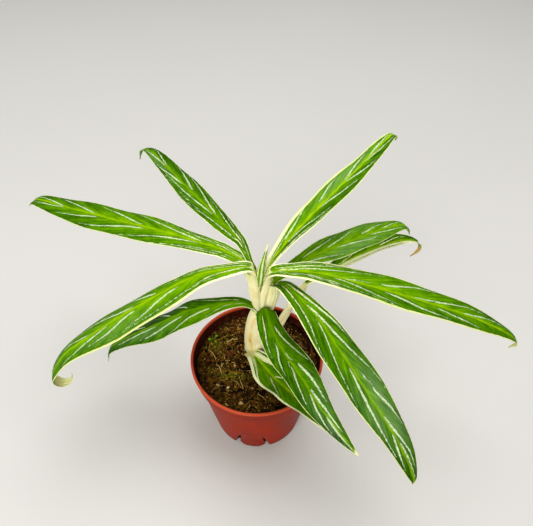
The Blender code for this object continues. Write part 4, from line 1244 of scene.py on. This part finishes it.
def make_pot(finish):
    """The nursery pot, turned from its outline and cut by its slots and holes."""
    profile = pot_profile()
    corners = [(0, 0, profile[0][1])]
    angles = [tau * k / POT_SIDES for k in range(POT_SIDES)]
    for radius, height in profile[1:-1]:
        corners += wall_ring(radius, height, angles)
    corners.append((0, 0, profile[-1][1]))
    faces = turned_faces(len(profile) - 2, POT_SIDES)
    pot = make_object("pot_shell", corners, faces, finish, smooth=False)
    cutters = [foot_slot(lobe, hand, finish) for lobe in range(LOBES) for hand in (-1, 1)]
    cutters += [drain_hole(number, finish) for number in range(DRAIN_HOLES)]
    cut_away(pot, cutters)
    pot.data.shade_smooth()
    pot.data.set_sharp_from_angle(angle=radians(40))

    # Fields for the finish
    spots = np.array([vertex.co for vertex in pot.data.vertices]) / MM
    folds = np.array([wall_fold(atan2(y, x), z) for x, y, z in spots])
    radius = np.hypot(spots[:, 0], spots[:, 1]) + folds
    height = spots[:, 2]
    inner = radius < np.interp(height, (0, SHOULDER_HEIGHT - 1, SHOULDER_HEIGHT, POT_HEIGHT),
                               (BASE_RADIUS - 0.6, BODY_TOP_RADIUS - 0.7, COLLAR_RADIUS - 1.6,
                                COLLAR_RADIUS - 0.3))
    # The lip's field is a painted highlight, and also marks where the scuffs go
    lip = ease(height, POT_HEIGHT - LIP_HEIGHT - 0.6, POT_HEIGHT - LIP_HEIGHT + 0.6) * 0.8
    give_field(pot, "lip", lip)
    # Painted shade over the inner wall
    give_field(pot, "inside", inner * (1 - lip))
    # Painted shade in a line under the collar's step
    give_field(pot, "crease", np.exp(-((height - SHOULDER_HEIGHT + 1.4) / 1.1) ** 2) * (1 - inner))
    give_field(pot, "rubbed", np.maximum(lip, 0.7 * (1 - ease(height, 0, 8)) * (1 - inner)))
    give_field(pot, "dusty", inner * (1 - ease(height, SOIL_LEVEL + 1, POT_HEIGHT - 2) * 0.85)
               + 0.12 * (1 - inner) * (1 - ease(height, 0, 20)))
    give_place(pot, "pot_place", spots)
    return settle(pot, "pot", "pot")


def cut_away(target, cutters):
    """Cut the target by every cutter at once, and remove the cutters."""
    group = bpy.data.collections.new("cutters")
    bpy.context.scene.collection.children.link(group)
    for cutter in cutters:
        group.objects.link(cutter)
    step = target.modifiers.new("cut", "BOOLEAN")
    step.operation = "DIFFERENCE"
    step.operand_type = "COLLECTION"
    step.collection = group
    step.solver = "EXACT"
    bpy.context.view_layer.update()
    evaluated = target.evaluated_get(bpy.context.evaluated_depsgraph_get())
    cut = bpy.data.meshes.new_from_object(evaluated)
    target.modifiers.clear()
    target.data = cut
    for cutter in cutters:
        bpy.data.objects.remove(cutter)
    bpy.data.collections.remove(group)


# Soil

def soil_height(x, y):
    """Height of the soil's lumpy surface, before its crumbs."""
    lump = noise.noise(Vector((x, y, 3.0)) * 0.055) + 0.5 * noise.noise(Vector((x, y, 9.0)) * 0.16)
    return SOIL_LEVEL + SOIL_BUMP * lump


def crumbly_height(x, y):
    """Height of the soil with its crumbs, and a low mound round each shoot."""
    spot = Vector((x, y, 0.0))
    crumbs = 0.0
    for fineness, shift, height in CRUMB_LAYERS:
        crumbs += abs(noise.noise(spot * fineness + Vector(shift))) * height
    mound = 0.0
    for shoot_x, shoot_y, radius in SHOOTS:
        gap = sqrt((x - shoot_x) ** 2 + (y - shoot_y) ** 2) - radius
        mound = max(mound, MOUND_HEIGHT * (1 - min(max(gap, 0) / MOUND_REACH, 1)) ** 2)
    return soil_height(x, y) + crumbs - 0.8 + mound


def make_soil(finish):
    """The soil plug: smooth sides inside the pot and a crumbly top."""
    foot = FLOOR + 0.3
    side = ((body_radius(FLOOR) - WALL - 1.3, foot), (body_radius(foot + 1.2) - WALL - 0.3, foot + 1.2),
            *((body_radius(height) - WALL - 0.3, height) for height in (9, 17, 25, 33, 40)),
            (body_radius(SHOULDER_HEIGHT) - WALL - 0.4, SHOULDER_HEIGHT - 0.5),
            (COLLAR_RADIUS - WALL - 1.4, SHOULDER_HEIGHT + 1.8))
    edge = side[-1][0]
    angles = [tau * k / SOIL_SIDES for k in range(SOIL_SIDES)]
    corners = [(0, 0, foot)]
    for radius, height in side:
        corners += wall_ring(radius, height, angles)
    for ring in range(1, SOIL_RINGS):
        radius = edge * (1 - ring / SOIL_RINGS)
        for angle in angles:
            x = radius * cos(angle)
            y = radius * sin(angle)
            corners.append((x, y, crumbly_height(x, y)))
    corners.append((0, 0, crumbly_height(0, 0)))
    faces = turned_faces(len(side) + SOIL_RINGS - 1, SOIL_SIDES)
    soil = make_object("soil_plug", corners, faces, finish, crease=70)
    spots = np.array(corners)
    give_place(soil, "soil_place", spots)
    give_field(soil, "mossy", mossy_share(spots[:, 0], spots[:, 1]))
    # Painted shade for the soil's hollows, where the crumbly surface dips below the plain one
    rises = np.array([z - soil_height(x, y) for x, y, z in corners])
    give_field(soil, "hollow", 1 - ease(rises, -0.7, 0.1))
    return settle(soil, "soil", "soil")


def mossy_share(x, y):
    """How mossy the soil is: a band across the front left, and a patch at the back left."""
    band = np.exp(-((x + 22) / 16) ** 2 - ((y + 14 + 0.25 * (x + 22)) / 5) ** 2)
    patch = np.exp(-((x + 36) / 9) ** 2 - ((y - 20) / 7) ** 2)
    return np.clip(band + 0.8 * patch, 0, 1)


def soil_spot(draw, reach=2.0, limit=51.0):
    """A drawn place on the soil, clear of the shoots and the wall."""
    while True:
        angle = draw.uniform(0, tau)
        radius = limit * sqrt(draw.random())
        x = radius * cos(angle)
        y = radius * sin(angle)
        if all(sqrt((x - sx) ** 2 + (y - sy) ** 2) > size + reach for sx, sy, size in SHOOTS):
            return x, y


# Bits that lie in plain sight. A chip holds its place, its half length and width, its turn in degrees and
# its shade. A twig holds where it starts and ends, its half width, how high it arches and its shade.
CHIPS = (((-26.0, 8.0), 4.4, 3.6, 20, 0.36), ((-13.3, -43.0), 2.6, 1.7, 10, 0.85),
         ((-25.4, -26.8), 1.9, 1.2, 60, 1.0), ((-26.3, -43.6), 1.7, 1.1, 100, 0.95),
         ((-18.0, 17.0), 2.0, 0.9, 70, 0.7), ((-42.0, 7.0), 1.8, 1.2, 120, 0.7))
TWIGS = (((-39.5, -10.0), (-12.0, -11.5), 0.95, 0.8, 0.34), ((-30.0, 21.6), (-19.0, 26.6), 0.34, 1.2, 0.95),
         ((-39.5, 24.0), (-28.0, 30.5), 0.4, 1.6, 0.45), ((-37.5, -3.0), (-30.0, -13.0), 0.26, 2.2, 1.0),
         ((-45.1, 12.7), (-36.9, 1.6), 0.28, 1.8, 0.9), ((-15.1, -15.5), (-11.9, -31.9), 0.22, 0.8, 0.95),
         ((-30.0, 2.0), (-20.0, -2.0), 0.3, 1.2, 0.8), ((8.0, -40.0), (1.0, -31.0), 0.24, 1.8, 0.9),
         ((26.0, 22.0), (34.0, 8.0), 0.5, 1.2, 0.2), ((30.0, -6.0), (21.0, -20.0), 0.3, 1.0, 0.75))


class Litter:
    """Many small shapes gathered into one mesh, each with its own shade."""

    def __init__(self):
        self.corners = []
        self.faces = []
        self.shades = []

    def add(self, corners, faces, shade):
        """One more shape, all of one shade."""
        start = len(self.corners)
        self.corners += [tuple(corner) for corner in corners]
        self.faces += [tuple(start + k for k in face) for face in faces]
        self.shades += [shade] * len(corners)

    def finish(self, name, finish, slot="soil"):
        """The shapes as one piece."""
        piece = make_object(name, self.corners, self.faces, finish, crease=60)
        give_field(piece, "shade", self.shades)
        give_place(piece, "soil_place", np.array(self.corners))
        return settle(piece, slot)


def ball(level):
    """Corners and faces of a round ball of triangles."""
    shape = bmesh.new()
    bmesh.ops.create_icosphere(shape, subdivisions=level, radius=1.0)
    corners = [corner.co.copy() for corner in shape.verts]
    faces = [tuple(corner.index for corner in face.verts) for face in shape.faces]
    shape.free()
    return corners, faces


def lump(draw, base, place, size, unevenness):
    """A ball squeezed and turned at random, with an uneven skin."""
    turn = Matrix.Rotation(draw.uniform(0, tau), 3, "Z") @ Matrix.Rotation(draw.uniform(-0.6, 0.6), 3, "X")
    offset = Vector((draw.uniform(0, 50), draw.uniform(0, 50), 0))
    corners = []
    for corner in base:
        bump = 1 + unevenness * noise.noise(corner * 1.7 + offset)
        shaped = Vector((corner.x * size[0], corner.y * size[1], corner.z * size[2])) * bump
        corners.append(Vector(place) + turn @ shaped)
    return corners


def make_crumbs(finish):
    """Crumbs of peat, from grains to lumps."""
    draw = random.Random(SOIL_SEED)
    litter = Litter()
    for kind in CRUMBS:
        base, faces = ball(kind.level)
        for number in range(kind.count):
            x, y = soil_spot(draw, kind.reach, kind.limit)
            size = draw.uniform(*kind.sizes)
            place = (x, y, crumbly_height(x, y) + kind.lift * size)
            shape = (size, size * draw.uniform(0.6, 1.0), size * draw.uniform(0.5, kind.tallest))
            corners = lump(draw, base, place, shape, kind.unevenness)
            litter.add(corners, faces, draw.uniform(0.0, kind.palest))
    return litter.finish("soil_crumbs", finish)


def make_chips(finish):
    """Flat chips of bark, each an uneven many-sided slab."""
    draw = random.Random(SOIL_SEED + 1)
    chips = [(place, half, width, radians(turn), shade) for place, half, width, turn, shade in CHIPS]
    for number in range(CHIP_COUNT):
        half = draw.uniform(0.8, 2.0) if number % 6 else draw.uniform(2.0, 3.6)
        chips.append((soil_spot(draw, 3.0, 49.0), half, half * draw.uniform(0.3, 0.65), draw.uniform(0, tau),
                      0.86 * draw.random() ** 1.8))
    litter = Litter()
    for (x, y), half, width, heading, shade in chips:
        thick = draw.uniform(0.4, 0.8)
        turn = Matrix.Rotation(heading, 3, "Z") @ Matrix.Rotation(draw.uniform(-0.4, 0.4), 3, "X")
        count = draw.randint(7, 10)
        place = Vector((x, y, crumbly_height(x, y) + 0.6))
        outline = []
        for k in range(count):
            angle = tau * k / count + draw.uniform(-0.25, 0.25)
            stray = draw.uniform(0.6, 1.15)
            outline.append((half * stray * cos(angle), width * stray * sin(angle)))
        corners = []
        for height, shrink in ((-thick, 0.82), (-0.3 * thick, 1.0), (0.4 * thick, 0.97), (thick, 0.8)):
            for px, py in outline:
                bowed = height + 0.05 * px * px / half
                corners.append(place + turn @ Vector((px * shrink, py * shrink, bowed)))
        litter.add(corners, rod_faces(4, count), shade)
    return litter.finish("soil_chips", finish)


def make_fibres(finish):
    """Fine fibres that lie over the crumbs, and a few longer twigs and roots."""
    draw = random.Random(SOIL_SEED + 2)
    litter = Litter()
    for start, end, half, arch, shade in TWIGS:
        path = []
        for step in range(10):
            share = step / 9
            x = start[0] + (end[0] - start[0]) * share + 0.7 * sin(5 * share + start[0])
            y = start[1] + (end[1] - start[1]) * share + 0.7 * sin(4 * share + end[0])
            path.append(Vector((x, y, crumbly_height(x, y) + 0.2 + arch * sin(pi * share))))
        halves = half * (0.5 + 0.5 * np.sin(pi * np.linspace(0.15, 0.85, 10)))
        litter.add(*thin_rod(path, halves, 6), shade)
    steps = 8
    for number in range(FIBRE_COUNT):
        x, y = soil_spot(draw, 2.0, 50.0)
        length = draw.uniform(2.5, 8) if number % 5 else draw.uniform(8, 17)
        radius = draw.uniform(0.10, 0.23)
        heading = draw.uniform(0, tau)
        bend = draw.uniform(-0.12, 0.12)
        arch = draw.uniform(0.0, 0.9)
        shade = draw.uniform(0.15, 0.75) if number % 6 else draw.uniform(0.75, 1.0)
        path = []
        for step in range(steps):
            share = step / (steps - 1)
            path.append(Vector((x, y, crumbly_height(x, y) - 0.05 + arch * sin(pi * share))))
            heading += bend + draw.uniform(-0.12, 0.12)
            x += cos(heading) * length / steps
            y += sin(heading) * length / steps
        if any(spot.xy.length > 52.5 for spot in path):
            continue
        halves = radius * (0.45 + 0.55 * np.sin(pi * np.linspace(0.1, 0.9, steps)))
        litter.add(*thin_rod(path, halves, 4), shade)
    return litter.finish("soil_fibres", finish)


def make_moss(finish):
    """Tufts of moss where the soil is mossy."""
    draw = random.Random(SOIL_SEED + 3)
    base, faces = ball(1)
    litter = Litter()
    while len(litter.shades) < TUFT_COUNT * len(base):
        x, y = soil_spot(draw, 1.0)
        if draw.random() > float(mossy_share(x, y)) + 0.012:
            continue
        size = draw.uniform(0.3, 0.8)
        place = (x, y, crumbly_height(x, y) + 0.3 * size)
        litter.add(lump(draw, base, place, (size, size, size * draw.uniform(0.8, 1.6)), 0.8), faces,
                   draw.random())
    return litter.finish("soil_moss", finish)


def make_sprout(finish):
    """A seedling with a few small round leaves, by the wall at the back left."""
    litter = Litter()
    foot = Vector((-41.5, 25.0, 0))
    foot.z = crumbly_height(foot.x, foot.y) - 0.5
    for heading, reach, height, size in ((205, 2.6, 3.6, 2.0), (30, 2.2, 4.4, 1.7), (300, 3.4, 2.6, 1.6)):
        out = Vector((cos(radians(heading)), sin(radians(heading)), 0))
        tip = foot + out * reach + Vector((0, 0, height))
        middle = foot + out * reach * 0.4 + Vector((0, 0, height * 0.7))
        shares, line = smooth_path((foot, middle, tip), 8)
        litter.add(*thin_rod(line, [0.24] * 8, 6), 0.35)
        across = out.cross(Vector((0, 0, 1)))
        ring = 14
        corners = []
        for depth in (0.12, -0.12):
            corners.append(tip + out * size * 0.6 + Vector((0, 0, depth + 0.1)))
            for k in range(ring):
                turn = tau * k / ring
                spot = tip + out * (size * 0.6 + size * 0.75 * cos(turn)) + across * (size * 0.6 * sin(turn))
                corners.append(spot + Vector((0, 0, depth * 0.4 - 0.25 * cos(2 * turn) + 0.15)))
        faces = []
        for k in range(ring):
            following = (k + 1) % ring
            faces.append((0, 1 + k, 1 + following))
            faces.append((ring + 1, ring + 2 + following, ring + 2 + k))
            faces.append((1 + k, ring + 2 + k, ring + 2 + following, 1 + following))
        litter.add(corners, faces, 0.8)
    return litter.finish("soil_sprout", finish, slot="leaf")


# Stage, light and camera

def make_stage():
    """A plain pale floor."""
    finish, tree, shader = new_finish("pale floor")
    place = tree.nodes.new("ShaderNodeTexCoord").outputs["Object"]
    tone = cloud(tree, place, scale=3.0, detail=3.0)
    plug(tree, blend(tree, tone, linear(203, 201, 196), linear(208, 206, 201)), shader.inputs["Base Color"])
    shader.inputs["Roughness"].default_value = 0.7
    reach = 4000.0
    corners = [(-reach, -reach, 0), (reach, -reach, 0), (reach, reach, 0), (-reach, reach, 0)]
    floor = make_object("floor", corners, [(0, 1, 2, 3)], finish, smooth=False)


def add_light(name, place, target, size, power):
    """A soft square light that faces a target."""
    light = bpy.data.lights.new(name, "AREA")
    light.shape = "SQUARE"
    light.size = size
    light.energy = power
    lamp = bpy.data.objects.new(name, light)
    lamp.location = place
    lamp.rotation_euler = (Vector(target) - Vector(place)).to_track_quat("-Z", "Y").to_euler()
    bpy.context.scene.collection.objects.link(lamp)


def make_light():
    """Plain soft studio light: a large source above and behind, a fill in front, and a pale surround."""
    middle = (0.0, 0.0, 0.12)
    add_light("overhead", (0.25, 0.35, 1.7), middle, 1.2, 22)
    add_light("front_fill", (-0.5, -1.5, 1.0), middle, 1.2, 25)
    add_light("left_fill", (-1.5, 0.5, 0.8), middle, 1.0, 6)
    world = bpy.data.worlds.new("pale surround")
    world.use_nodes = True
    backdrop = world.node_tree.nodes["Background"]
    backdrop.inputs["Color"].default_value = (1.0, 0.99, 0.96, 1.0)
    backdrop.inputs["Strength"].default_value = 0.32
    bpy.context.scene.world = world


def make_camera():
    """The photograph's viewpoint: above the front, looking down at the plant."""
    camera = bpy.data.cameras.new("camera")
    camera.sensor_width = SENSOR_WIDTH
    camera.lens = SENSOR_WIDTH * FOCAL_PIXELS / PHOTO_WIDTH
    camera.clip_start = 0.01
    viewer = bpy.data.objects.new("camera", camera)
    viewer.location = CAMERA_PLACE
    viewer.rotation_euler = (radians(CAMERA_TILT), 0, 0)
    bpy.context.scene.collection.objects.link(viewer)
    bpy.context.scene.camera = viewer


# The scene

make_camera()
make_stage()
make_light()

make_pot(make_pot_finish())
make_soil(make_soil_finish())
crumb_finish = make_litter_finish("peat crumbs", (
    (0.0, linear(4, 2, 1)), (0.35, linear(36, 19, 5)), (0.65, linear(118, 74, 20)),
    (1.0, linear(208, 162, 72))), 0.85)
chip_finish = make_litter_finish("bark", (
    (0.0, linear(26, 12, 4)), (0.35, linear(90, 46, 18)), (0.7, linear(140, 94, 34)),
    (1.0, linear(214, 188, 128))), 0.75)
fibre_finish = make_litter_finish("fibre", (
    (0.0, linear(40, 24, 5)), (0.4, linear(124, 90, 18)), (0.7, linear(178, 138, 48)),
    (1.0, linear(224, 198, 122))), 0.7)
moss_finish = make_litter_finish("moss", (
    (0.0, linear(56, 54, 8)), (0.5, linear(104, 98, 12)), (1.0, linear(150, 140, 34))), 0.9)
sprout_finish = make_litter_finish("seedling", (
    (0.0, linear(46, 84, 8)), (0.5, linear(76, 132, 12)), (1.0, linear(110, 172, 30))), 0.5)
make_crumbs(crumb_finish)
make_chips(chip_finish)
make_fibres(fibre_finish)
make_moss(moss_finish)
make_sprout(sprout_finish)

stem_finish = make_stem_finish()
for stem in STEMS:
    make_stem(stem, stem_finish)

leaf_finish = make_leaf_finish()
for leaf in LEAVES:
    make_leaf(leaf, leaf_finish)
make_rolled_leaf(leaf_finish)

bpy.context.scene.view_settings.view_transform = "Standard"
